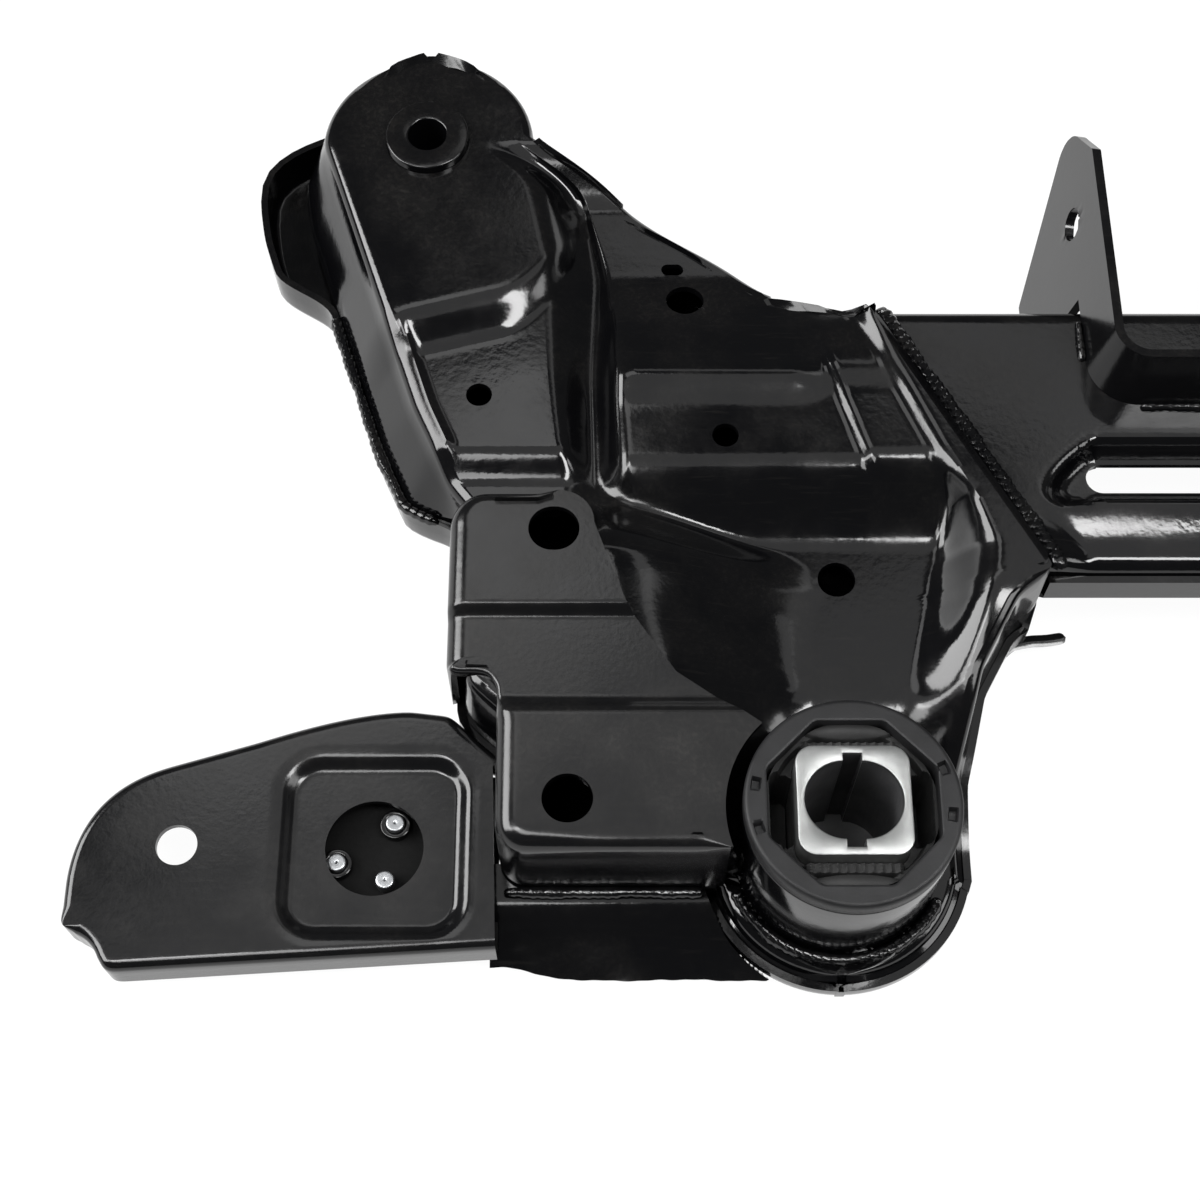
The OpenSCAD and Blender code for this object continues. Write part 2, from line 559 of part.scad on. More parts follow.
module crossmember_lower() difference() {
    intersection() {
        along_x(-2 * nose_x, 2 * nose_x) polygon(concat(trough(0), turned(trough(sheet))));
        translate([0, 0, -1]) linear_extrude(cross_h) cross_plan(-cross_gap);
    }
    translate([0, under_slot[1], -1]) linear_extrude(2 * sheet) stadium(slot_l + 10, under_slot[0]);
}

// Clevis: one plate bent to a U, its cheeks leaning in, seated on the cross-member and its front face
clevis_back = cross_front - 47;
clevis_bend = 20;
clevis_z = cross_h + lap;
clevis_face = cross_front + 2 * lap + sheet;
clevis_low = 3;
clevis_tip = cross_front + clevis_reach;
clevis_top = cross_h + clevis_h;
clevis_hole = [cross_front + clevis_reach / 2, cross_h + 2.5];
function half_u(t) = let (w = clevis_w / 2) concat(
    [[w - t, clevis_tip + 5]],
    arc([w - clevis_bend, clevis_back + clevis_bend], clevis_bend - t, 0, -90));
function whole_u(t) = let (h = half_u(t)) concat(h, [for (p = turned(h)) [-p.x, p.y]]);
function lean(z) = (z - clevis_z) * tan(clevis_lean);
module clevis() difference() {
    intersection() {
        sheet_between([for (i = [0 : len(whole_u(0)) - 1]) [for (z = [0, clevis_top + 5])
                          at(whole_u(lean(z))[i], z)]],
                      [for (i = [0 : len(whole_u(0)) - 1]) [for (z = [0, clevis_top + 5])
                          at(whole_u(lean(z) + clevis_sheet)[i], z)]]);
        along_x(-clevis_w, clevis_w) polygon(concat(
            [[clevis_back - 20, clevis_z], [clevis_face, clevis_z], [clevis_face, clevis_low],
             [clevis_face + 34, clevis_low]],
            arc([clevis_tip - 14, clevis_top - 22], 14, -35, 60),
            [[clevis_tip - 20, clevis_top], [clevis_back - 20, clevis_top]]));
    }
    translate([-clevis_w, clevis_hole.x, clevis_hole.y]) rotate([0, 90, 0])
        cylinder(d = clevis_bore, h = 2 * clevis_w, $fn = 48);
}
clevis_weld_r = 3;
module clevis_weld() {
    for (s = [0, 1]) mirror([s, 0, 0]) translate([clevis_w / 2 + lap, 0, clevis_z])
        rotate([90, 0, 0]) translate([0, 0, -cross_front + cross_r]) linear_extrude(20) intersection() {
            circle(clevis_weld_r, $fn = 32);
            square(clevis_weld_r);
        }
    translate([0, clevis_back - lap, clevis_z]) along_x(-clevis_w / 2 + clevis_bend, clevis_w / 2 - clevis_bend)
        intersection() {
            circle(clevis_weld_r, $fn = 32);
            translate([-clevis_weld_r, 0]) square(clevis_weld_r);
        }
}

// Rear skirt: a sloping plate under the pad bracket's rear wall, from the wing to the bush eye
skirt_z = pad_foot - pad_weld_r - lap;
skirt_reach = 32;
skirt_clear = 1.6;
skirt_notch = 17;
module rear_skirt() difference() {
    translate([0, pad_rear, 0]) along_x(bush_x, pad_in) polygon([
        [-skirt_clear, skirt_z], [-skirt_clear - 2, skirt_z], [-18, 5], [-skirt_reach, 3.6],
        [-skirt_reach, 0.6], [-17, 2], [-skirt_clear, skirt_z - 2]]);
    at_bush(-1) cylinder(r = eye_r + wall_run + sheet + 3 * lap, h = 2 * pan_rim, $fn = 96);
    translate([pad_in - skirt_notch, pad_rear - 2 * skirt_reach, -1])
        cube([2 * skirt_notch, 2 * skirt_reach - skirt_notch, 2 * pan_rim]);
}

// Neck tab: a small plate beside the lower shell, behind the seam's rear end
tab_z = 8;
module neck_tab() translate([seam_rear.x, seam_rear.y, tab_z]) linear_extrude(sheet)
    polygon([[-0.6, -0.4], [9.7, -16], [16.1, -26.5], [11, -27], [-5, -13], [-15, -9], [-13, 2]]);

// Each side piece, drawn on the right and mirrored for the left
module side_piece(piece) {
    if (piece == "upper_shell") color("#101012") upper_shell();
    if (piece == "lower_shell") color("#141416") lower_shell();
    if (piece == "pad_bracket") color("#1c1c1e") pad_bracket();
    if (piece == "wing_bracket") color("#1a1a1c") wing_bracket();
    if (piece == "wing_plate") color("#141416") wing_plate();
    if (piece == "wing_pins") color("#a8aaac") wing_pins();
    if (piece == "pin_sleeves") color("#161618") pin_sleeves();
    if (piece == "bush_tube") color("#121214") bush_tube();
    if (piece == "bush_sleeve") color("#1e1e20") bush_sleeve();
    if (piece == "bush_rubber") color("#0c0c0c") bush_rubber();
    if (piece == "bush_core") color("#c4c4c2") bush_core();
    if (piece == "arm_sleeve") color("#141416") arm_sleeve();
    if (piece == "arm_weld") color("#1c1c1e") arm_weld();
    if (piece == "seam_weld") color("#1c1c1e") seam_weld();
    if (piece == "eye_weld") color("#1c1c1e") eye_weld();
    if (piece == "pad_weld") color("#1c1c1e") pad_weld();
    if (piece == "rear_skirt") color("#141416") rear_skirt();
    if (piece == "neck_tab") color("#141416") neck_tab();
}
SIDE_PIECES = ["upper_shell", "lower_shell", "pad_bracket", "wing_bracket", "wing_plate", "wing_pins",
               "pin_sleeves", "bush_tube", "bush_sleeve", "bush_rubber", "bush_core", "arm_sleeve",
               "arm_weld", "seam_weld", "eye_weld", "pad_weld", "rear_skirt", "neck_tab"];

for (piece = SIDE_PIECES) side_piece(piece);
for (piece = SIDE_PIECES) mirror([1, 0, 0]) side_piece(piece);
color("#141416") crossmember_upper();
color("#141416") crossmember_lower();
color("#1a1a1c") clevis();
color("#1c1c1e") clevis_weld();
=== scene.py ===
"""Looks of a welded pressed-steel car subframe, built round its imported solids.

Shapes are numpy surfaces in millimetres, drawn for the right side, where x is positive, and mirrored for
the left. They follow the outlines and heights of the solids they replace.
"""
import math

import bpy
import numpy as np
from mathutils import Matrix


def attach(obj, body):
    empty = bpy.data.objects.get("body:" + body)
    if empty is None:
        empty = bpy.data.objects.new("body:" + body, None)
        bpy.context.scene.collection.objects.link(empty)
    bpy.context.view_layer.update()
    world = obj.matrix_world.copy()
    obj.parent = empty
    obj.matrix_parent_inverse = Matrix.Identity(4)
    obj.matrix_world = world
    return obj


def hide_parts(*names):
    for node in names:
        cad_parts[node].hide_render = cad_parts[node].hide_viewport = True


bl_info = {
    "name": "Pressed subframe",
    "version": (1, 0, 0),
    "blender": (4, 5, 0),
    "location": "View3D > Sidebar > Subframe",
    "description": "Builds the visible surfaces of a welded pressed-steel subframe",
    "category": "Add Mesh",
}

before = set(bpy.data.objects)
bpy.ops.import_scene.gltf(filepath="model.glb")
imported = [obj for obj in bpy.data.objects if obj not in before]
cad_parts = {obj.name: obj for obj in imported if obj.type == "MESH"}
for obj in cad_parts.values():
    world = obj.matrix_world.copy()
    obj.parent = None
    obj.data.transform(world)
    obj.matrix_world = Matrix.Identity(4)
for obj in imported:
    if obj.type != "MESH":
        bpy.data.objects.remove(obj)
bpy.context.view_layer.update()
MM = 0.001
SIDES = (("left", -1), ("right", 1))
SHARP_ANGLE = math.radians(35.0)

# Plan of the side box, right side: middles and ends as (x, y), in millimetres
NOSE, NOSE_R = np.array([325.0, 156.0]), 46.0
BUSH, TUBE_R, EYE_R = np.array([158.0, -154.0]), 40.0, 48.0
SEAM_FRONT, SEAM_REAR = np.array([138.0, 68.5]), np.array([72.5, -52.4])
SHELL_REAR, SHELL_OUT, SHELL_IN, NOTCH_Y = -163.0, 302.0, 282.0, -109.0

# Edges and crease of the side box from the nose to the rear, as (y, x)
OUTER = [(156, 371), (27, 328), (-6, 313), (-20, SHELL_OUT), (-100, SHELL_OUT), (-118, SHELL_IN),
         (-163, SHELL_IN)]
INNER = [(156, 279), (137, 246), (120, 228), (101, 198), (80, 173), (75, 146), (68.5, 138), (-52.4, 72.5),
         (-62.4, 86), (-88.4, 100.5), (-126, 110), (-163, 110)]
CREASE = [(156, 290.5), (137, 258), (94, 251), (44, 253), (-6, 252), (-36, 248), (-70, 240),
          (-118, 222), (-163, 222)]

# Heights of the side box, and how far its walls and its sheets stand apart
ROOF, POCKET, VALLEY, PLATEAU, LOBE, BASIN, EYE = 60.0, 52.0, 43.0, 57.0, 47.0, 40.0, 16.0
SHELF, SEAM_Z, PAN_RIM, PAN_LAP, EYE_RIM = 62.8, 63.2, 22.0, 8.0, 11.0
SHEET, LAP, WALL_RUN, ARM_DRAFT, LOBE_OUT = 3.0, 0.2, 2.0, 14.5, 18.0
LIP_RISE, RIDGE_RISE, RIB_RISE = 1.6, 2.4, 2.6

# Brackets: heights of the plates, of their walls' feet and of the pressings
PAD_TOP, RECESS, PAD_FOOT, PAD_FRONT_FOOT, NOTCH_FOOT, NOTCH_BEND = 70, 4, 22.3, 52.0, 61.0, 1.8
WING_TOP, WING_FOOT, DISH, DISH_HALF, DISH_CORNER = 30, 12.0, (337, -155), 36, 15
SKIRT_TOP_Y, SKIRT_CUT_R, TAB_TOP, TAB_HALF = -171.2, 53.8, 11.0, 2.6

# Bush: its foot, its ring's top and its core's bar
BUSH_FOOT, RING_TOP, RING_R, CORE_TOP, CORE_HALF, CORE_CORNER = 11.2, 78.0, 36, 80.0, 21.0, 7.0

# Cross-member and clevis
CROSS_REAR, CROSS_FRONT, CROSS_TOP, CROSS_BEND = -50.0, 69.5, 60.0, 7
CROSS_REAR_Z, UNDER_RUN, CHANNEL, REAR_FALL = 36.0, 22.0, 9, 4.4
SLOT_Y, SLOT_HALF, SLOT_R = -7, 46.5, 6.5
CLEVIS_SHEET, CLEVIS_HALF, CLEVIS_FOOT, CLEVIS_TOP, CLEVIS_LEAN = 4.0, 50.0, 60.2, 88.0, math.radians(11)

# Holes, as both ends of a middle line and a radius: (ax, ay, bx, by, r)
SHELL_HOLES = [(300, 32, 300, 32, 5.4), (199, 10, 199, 10, 5.4), (155, -47, 155, -47, 7.6),
               (214, 80, 214, 80, 8.0), (217, 97, 221, 97, 2.8), (268, -39, 268, -28, 11.5),
               (262, -150, 262, -150, 11), (*BUSH, *BUSH, TUBE_R + LAP), (*NOSE, *NOSE, 18.2)]
PAN_HOLES = [(*BUSH, *BUSH, 6.0), (*NOSE, *NOSE, 8.25)]
PAD_HOLES = [(267.5, -39, 268.5, -39, 9.5), (262, -150, 262, -150, 9.5)]
WING_HOLES = [(*DISH, *DISH, 19), (412.5, -155, 412.5, -155, 8)]
CLEVIS_HOLES = [(109.5, 62.5, 109.5, 62.5, 7)]

# Lamps: name, place and size in metres, and power in watts; the flat sheets mirror the panels overhead
LAMPS = (
    ("ceiling", (-0.25, 0.085, 1.9), (2.6, 1.07), 5.7),
    ("south_strip", (-0.65, -0.5, 1.85), (0.75, 0.5), 8.0),
    ("near_panel", (-0.6, 0.85, 1.95), (0.8, 0.46), 2.2),
    ("far_panel", (0.42, 1.17, 1.9), (1.7, 0.26), 1.2),
    ("right_strip", (0.62, -0.4, 1.75), (0.4, 1.1), 26.0),
    ("left_strip", (-1.15, -0.35, 1.75), (0.28, 1.1), 9.0),
    ("left_window", (-1.9, 0.1, 1.15), (1.6, 1.2), 60.0),
    ("right_fill", (1.9, -0.6, 1.3), (1.0, 1.0), 16.0),
)
LAMP_AIM, SKY_COLOUR, SKY_LEVEL = np.array([-0.2, -0.02, 0.04]), (0.95, 0.97, 1.0, 1.0), 0.08
FLOOR_HALF, FLOOR_CELLS, FLOOR_Z, FLOOR_GLOW, FLOOR_DIM = 16, 9, -0.0003, 0.96, 0.06
CAMERA_PLACE, CAMERA_TILT, LENS_MM, SENSOR_MM = (-0.250, -0.3941, 0.76505), math.radians(25.0), 60.0, 36.0


def ramp(a, b, v):
    """Smooth step: 0 up to a, 1 from b, and 3t^2 - 2t^3 between."""
    t = np.clip((np.asarray(v, float) - a) / (b - a), 0, 1)
    return t * t * (3 - 2 * t)


def mix(a, b, t):
    """Straight blend from a to b."""
    return a + (b - a) * t


def unit(v):
    """Rows of an array brought to length 1."""
    return v / np.linalg.norm(v, axis=1)[:, None]


def run_along(path):
    """Distance along a path at each of its points."""
    return np.r_[0, np.cumsum(np.linalg.norm(np.diff(path, axis=0), axis=1))]


def lifted(xy, z):
    """Plan points with their heights."""
    return np.concatenate([xy, np.broadcast_to(z, xy.shape[:-1])[..., None]], -1)


def polar(r, a, z, centre=BUSH):
    """Points at radius r, angle a and height z round an upright axis through centre."""
    x, y = centre[0] + r * np.cos(a), centre[1] + r * np.sin(a)
    return np.stack(np.broadcast_arrays(x, y, z), -1)


def soft_line(table, y, reach):
    """Outline value at y: the table's straight lines averaged with a bell of the given reach."""
    t = np.array(sorted(table), float)
    off = np.linspace(-2.5, 2.5, 21)
    w = np.exp(-off * off / 2)
    return np.interp(np.asarray(y, float)[:, None] + off * reach, t[:, 0], t[:, 1]) @ (w / w.sum())


def softened(path, reach):
    """A path with each point averaged over its neighbours by a bell, its two ends held."""
    off = np.arange(-2 * reach, 2 * reach + 1)
    bell = np.exp(-(off / reach) ** 2 * 2)
    before, after = 2 * path[:1] - path[2 * reach:0:-1], 2 * path[-1:] - path[-2:-2 * reach - 2:-1]
    wide = np.concatenate([before, path, after])
    return np.stack([np.convolve(wide[:, k], bell / bell.sum(), "valid") for k in range(2)], -1)


def track(parts, n):
    """Points of a path at n even steps of t: parts are (points, t at the end), each run at an even speed."""
    ts, pts, t0 = [], [], 0.0
    for points, t1 in parts:
        q = np.asarray(points, float)
        run = run_along(q)
        ts.append(t0 + (t1 - t0) * run / run[-1])
        pts.append(q)
        t0 = t1
    ts, pts = np.concatenate(ts), np.vstack(pts)
    t = np.linspace(0, 1, n)
    return np.stack([np.interp(t, ts, pts[:, 0]), np.interp(t, ts, pts[:, 1])], -1)


def arc(cx, cy, r, a0, a1, n=16):
    """Points of a circle from angle a0 to a1, in degrees."""
    a = np.radians(np.linspace(a0, a1, n))
    return np.stack([cx + r * np.cos(a), cy + r * np.sin(a)], -1)


def full_turn(n):
    """n even angles round a circle, as a column."""
    return np.linspace(0, 2 * np.pi, n, endpoint=False)[:, None]


def grid_faces(n, m, closed=False):
    """Quads of an n by m grid of points; closed joins the last row to the first."""
    i = np.arange(n if closed else n - 1)[:, None] * m
    k = np.arange(m - 1)[None, :]
    j = (i + m) % (n * m)
    return np.stack([i + k, i + k + 1, j + k + 1, j + k], -1).reshape(-1, 4)


def surface(p, closed=False):
    """Points and quads of a grid of points with rows, columns and coordinates."""
    return p.reshape(-1, 3), grid_faces(p.shape[0], p.shape[1], closed)


def joined(parts):
    """Several surfaces as one: points one after the other, and faces counted on."""
    start = np.cumsum([0] + [len(p) for p, _ in parts])
    return np.vstack([p for p, _ in parts]), np.vstack([f + i for (_, f), i in zip(parts, start)])


def cut_holes(points, faces, holes):
    """Takes out the faces inside each hole and draws the rim onto its edge.

    A hole is (ax, ay, bx, by, r): all points within r of the segment from a to b, seen from above.
    """
    p = points.copy()
    keep = np.ones(len(faces), bool)
    mid = p[faces].mean(1)[:, :2]
    for ax, ay, bx, by, r in holes:
        a, d = np.array([ax, ay]), np.array([bx - ax, by - ay])

        def foot(q):
            s = np.clip(((q - a) @ d) / max(d @ d, 1e-9), 0, 1)
            return a + s[:, None] * d

        inside = np.linalg.norm(mid - foot(mid), axis=1) < r
        edge = np.intersect1d(faces[keep & inside], faces[keep & ~inside])
        keep &= ~inside
        if len(edge):
            q = foot(p[edge, :2])
            p[edge, :2] = q + unit(p[edge, :2] - q) * r
    return p, faces[keep]


def closed_loop_distance(x, y, half_w, half_h, r):
    """Distance from a rounded rectangle's edge, negative inside."""
    qx, qy = np.abs(x) - half_w + r, np.abs(y) - half_h + r
    return np.hypot(np.maximum(qx, 0), np.maximum(qy, 0)) + np.minimum(np.maximum(qx, qy), 0) - r


def quad_areas(p, f):
    """Area vectors of quads, twice their size."""
    return np.cross(p[f[:, 2]] - p[f[:, 0]], p[f[:, 3]] - p[f[:, 1]])


def walled(p, f, sheet):
    """Gives a surface its inner skin.

    Points are moved in along area-weighted normals, and a strip closes each free edge.
    """
    normal = np.zeros_like(p)
    np.add.at(normal, f, quad_areas(p, f)[:, None])
    normal /= np.linalg.norm(normal, axis=1)[:, None] + 1e-12
    edges = np.stack([f, np.roll(f, -1, 1)], -1).reshape(-1, 2)
    _, at, uses = np.unique(np.sort(edges, 1), axis=0, return_index=True, return_counts=True)
    a, b = edges[at[uses == 1]].T
    n = len(p)
    strip = np.stack([b, a, a + n, b + n], -1)
    return np.vstack([p, p - normal * sheet]), np.vstack([f, f[:, ::-1] + n, strip])


def put(name, points, faces, finish, slot, nodes=(), sheet=0.0, sign=1, inside=None):
    """Makes one piece of a surface in millimetres, mirrored when sign is -1, with a wall of the given sheet.

    Faces are turned so that, summed over the surface, they look away from a point inside it. That point is
    the surface's middle if none is given.
    """
    scale = np.array([sign, 1, 1])
    p = np.asarray(points, float).reshape(-1, 3) * scale * MM
    f = np.asarray(faces)
    t = p[f]
    middle = t.reshape(-1, 3).mean(0) if inside is None else np.array(inside) * scale * MM
    if np.sum((t.mean(1) - middle) * quad_areas(p, f)) < 0:
        f = f[:, ::-1]
    used, back = np.unique(f, return_inverse=True)
    p, f = p[used], back.reshape(f.shape)
    if sheet:
        p, f = walled(p, f, sheet * MM)
    mesh = bpy.data.meshes.new(name)
    mesh.from_pydata(p.tolist(), [], f.tolist())
    mesh.validate()
    mesh.polygons.foreach_set("use_smooth", np.ones(len(mesh.polygons), bool))
    mesh.set_sharp_from_angle(angle=SHARP_ANGLE)
    mesh.materials.append(FINISHES[finish]())
    obj = bpy.data.objects.new(name, mesh)
    bpy.context.scene.collection.objects.link(obj)
    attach(obj, "root")
    if nodes:
        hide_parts(*nodes)
    return obj


def both_sides(name, points, faces, finish, slot, nodes=(), sheet=0.0, inside=None):
    """Puts a piece on each side of the car; a node's name gets the side at its end."""
    for side, sign in SIDES:
        names = [f"{n}_{side}" for n in nodes]
        put(f"{name}_{side}", points, faces, finish, slot, names, sheet, sign, inside)


def lathe(profile, centre, turns=128):
    """A profile of (radius, height) turned round an upright axis through centre."""
    r, z = np.asarray(profile, float).T
    return surface(polar(r, full_turn(turns), z, centre), True)


def rounded_section(corners, radius, steps=5):
    """A closed (radius, height) section with its corners rounded: each corner becomes a quadratic curve."""
    most_of_side = 0.45
    c = np.asarray(corners, float)
    before, after = np.roll(c, 1, 0), np.roll(c, -1, 0)
    t = np.linspace(0, 1, steps)[None, :, None]

    def toward(q):
        d = q - c
        n = np.linalg.norm(d, axis=1)[:, None]
        return (c + d / n * np.minimum(radius, n * most_of_side))[:, None]

    a, b = toward(before), toward(after)
    pts = mix(mix(a, c[:, None], t), mix(c[:, None], b, t), t).reshape(-1, 2)
    return np.vstack([pts, pts[:1]])


def bead(path, width, height, pitch, seed=0):
    """A weld bead: a half-round section along a path, its crown stepped in crescents of the given pitch.

    The width wanders by three waves and swells with each crescent, and both ends taper.
    """
    spacing, across, taper, crescent = 0.7, 15, 0.6, 0.45
    path = np.asarray(path, float)
    run = run_along(path)
    n = max(12, int(run[-1] / spacing))
    s = np.linspace(0, run[-1], n)
    c = np.stack([np.interp(s, run, path[:, k]) for k in range(3)], -1)
    side = unit(np.cross(unit(np.gradient(c, axis=0)), [0, 0, 1.0]))
    q = np.linspace(-1, 1, across)[None, :]
    end = np.clip(np.minimum(s, run[-1] - s) / (taper * width), 0, 1)[:, None] ** 0.5
    wave = s[:, None] / pitch - crescent * width / pitch * (1 - q * q)
    step = (wave % 1.0) ** 0.6
    wander = 0.09 * np.sin(s / 9.0 + seed) + 0.08 * np.sin(s / 3.7 + 2 * seed)
    wander = wander + 0.05 * np.sin(s / 1.7 + 3 * seed)
    swell = 1 + wander[:, None] + 0.07 * np.sin(2 * np.pi * s / pitch)[:, None]
    half = width / 2 * swell * (0.3 + 0.7 * end)
    top = height * np.sqrt(np.clip(1 - q * q, 0, 1)) * (0.74 + 0.26 * step) * (0.2 + 0.8 * end)
    upright = np.array([0, 0, 1.0])
    return surface(c[:, None] + side[:, None] * (q * half)[..., None] + upright * top[..., None])


def turned_edge(rim, normal, radius, top, foot):
    """A turned-down edge along a rim: from its foot up the wall and over a quarter-round bend.

    Also gives the plan line where the bend meets the plate, whose height is top(x, y).
    """
    inset = rim - normal * radius
    crown = top(inset[:, 0], inset[:, 1])[:, None]
    up = np.linspace(0, 1, 5)[None, :-1]
    wall = lifted(np.repeat(rim[:, None], up.shape[1], 1), mix(foot, crown - radius, up))
    a = np.linspace(0, np.pi / 2, 7)[None, :-1]
    bend = inset[:, None] + normal[:, None] * (radius * np.cos(a))[..., None]
    bend = lifted(bend, crown - radius + radius * np.sin(a))
    return np.concatenate([wall, bend], 1), inset


def plate_between(a, b, top, cells):
    """A plate from one plan line straight across to another, at the height top(x, y)."""
    flat = mix(a[:, None], b[:, None], np.linspace(0, 1, cells)[None, :, None])
    return lifted(flat, top(flat[..., 0], flat[..., 1]))


# The side box: rows run from the nose to the bush eye, for the upper and the lower shell

def box_rows(step):
    """Outer edge, crease, inner edge and y of each row: chords of the nose, the outlines and the eye."""
    nose = np.radians(np.linspace(88, 4, 18))
    y = np.r_[np.arange(NOSE[1], SHELL_REAR, -step), SHELL_REAR, SHELL_REAR - 0.7, SHELL_REAR - 1.4]
    start = math.asin((SHELL_REAR - 2 - BUSH[1]) / EYE_R)
    eye = np.linspace(start, math.radians(-88), 26)
    share = np.linspace(0, 1, 26)
    h, e = NOSE_R * np.cos(nose), EYE_R * np.cos(eye)
    inner_line = np.where(y > 84, soft_line(INNER, y, 5.0), soft_line(INNER, y, 1.6))
    nose_crease = NOSE[0] - 0.75 * h * (1 - nose / (np.pi / 2))
    outer = np.r_[NOSE[0] + h, soft_line(OUTER, y, 3.0), BUSH[0] + e]
    inner = np.r_[NOSE[0] - h, inner_line, BUSH[0] - e]
    crease = np.r_[nose_crease, soft_line(CREASE, y, 5.0), BUSH[0] + 0.9 * (1 - share) * e]
    rows_y = np.r_[NOSE[1] + NOSE_R * np.sin(nose), y, BUSH[1] + EYE_R * np.sin(eye)]
    return outer, crease, inner, rows_y


def edge_normals(x, y, way):
    """Plan normals along an edge, out of the box; way is 1 on the outer edge and -1 on the inner one."""
    d = unit(np.stack([np.gradient(x), np.gradient(y)], -1))
    return np.stack([-d[:, 1], d[:, 0]], -1) * way


def arm_run(y):
    """How far the arm's outer wall slopes out."""
    return mix(WALL_RUN, ARM_DRAFT, ramp(-14, 4, y) * ramp(NOSE[1] + NOSE_R, NOSE[1] - 20, y))


def pan_rim(y, inner):
    """Height of the lower shell's rim on the inner or the outer edge."""
    low = ramp(BUSH[1] - 2, NOTCH_Y, y) if inner else ramp(BUSH[1] - 6, BUSH[1] + 4, y)
    return mix(EYE_RIM, PAN_RIM, low)


def at_seam(y):
    """1 along the seam with the cross-member, where the shells end in a cut edge, and 0 beyond it."""
    return (ramp(72, 69, y) * ramp(-56, -53, y))[:, None]


def slope_line(x):
    """Middle of the slope between the arm's roof and its pocket: further forward towards the crease."""
    return 58 + 0.27 * (340 - x) + 15 * np.clip((292 - x) / 23, 0, 1.4) ** 2


def pressed_height(x, y, outer, crease, inner):
    """Height of the upper shell: arm and body levels blended along y, joined by a valley at the crease.

    The first two values of each ramp are the places along y or x, in millimetres, between which it blends.
    """
    s = slope_line(x)
    arm = mix(mix(VALLEY + 3, POCKET, ramp(-8, 8, y)), ROOF, ramp(s - 13, s + 10, y))
    lip = np.exp(-((outer - x - 7.5) / 2.2) ** 2) * ramp(2, 12, y) * ramp(70, 54, y)
    arm = mix(SHELF, arm + LIP_RISE * lip, ramp(-40, -22, y))
    valley = mix(SHELF, VALLEY, ramp(-45, -5, y))
    share = (crease - x) / (crease - inner)
    lobe = mix(PLATEAU + 1, LOBE, ramp(40, 96, y))
    plateau = mix(PLATEAU, lobe, ramp(28, 44, y))
    ridge = RIDGE_RISE * np.exp(-((y - 37) / 8.0) ** 2) * ramp(250, 236, x) * ramp(150, 172, x)
    basin = mix(BASIN, plateau + ridge, ramp(-34, 2, y))
    first = 142 + 0.306 * (y + 1.6)
    second = np.interp(y, [-126, -90, -60, -40, -17.6, 61, 80], [122, 116, 108, 104, 106, 139.5, 147.6])
    wide = mix(4.6, 13, ramp(-8, -50, y))
    rib = basin + RIB_RISE * ramp(first + 3.2, first - 3.2, x) * ramp(-16, 4, y) * ramp(78, 62, y)
    rib = np.minimum(rib, SEAM_Z)
    edge = mix(BASIN + 4, SEAM_Z, ramp(-118, -52, y))
    seam = mix(rib, edge, ramp(second + wide, second - wide, x) * ramp(80.5, 68.5, y))
    body = mix(EYE, seam, ramp(-156, -95, y))
    back = ramp(-164, -163, y)
    valley, arm = mix(EYE, valley, back), mix(EYE, arm, back)
    on_arm = mix(valley, arm, ramp(0, 0.22, (x - crease) / (outer - crease)))
    on_body = mix(valley, body, ramp(0, 1, share / mix(0.5, 0.09, ramp(-45, -5, y))))
    z = np.where(x > crease, on_arm, on_body)
    return mix(z, ROOF, ramp(126, 156, y))


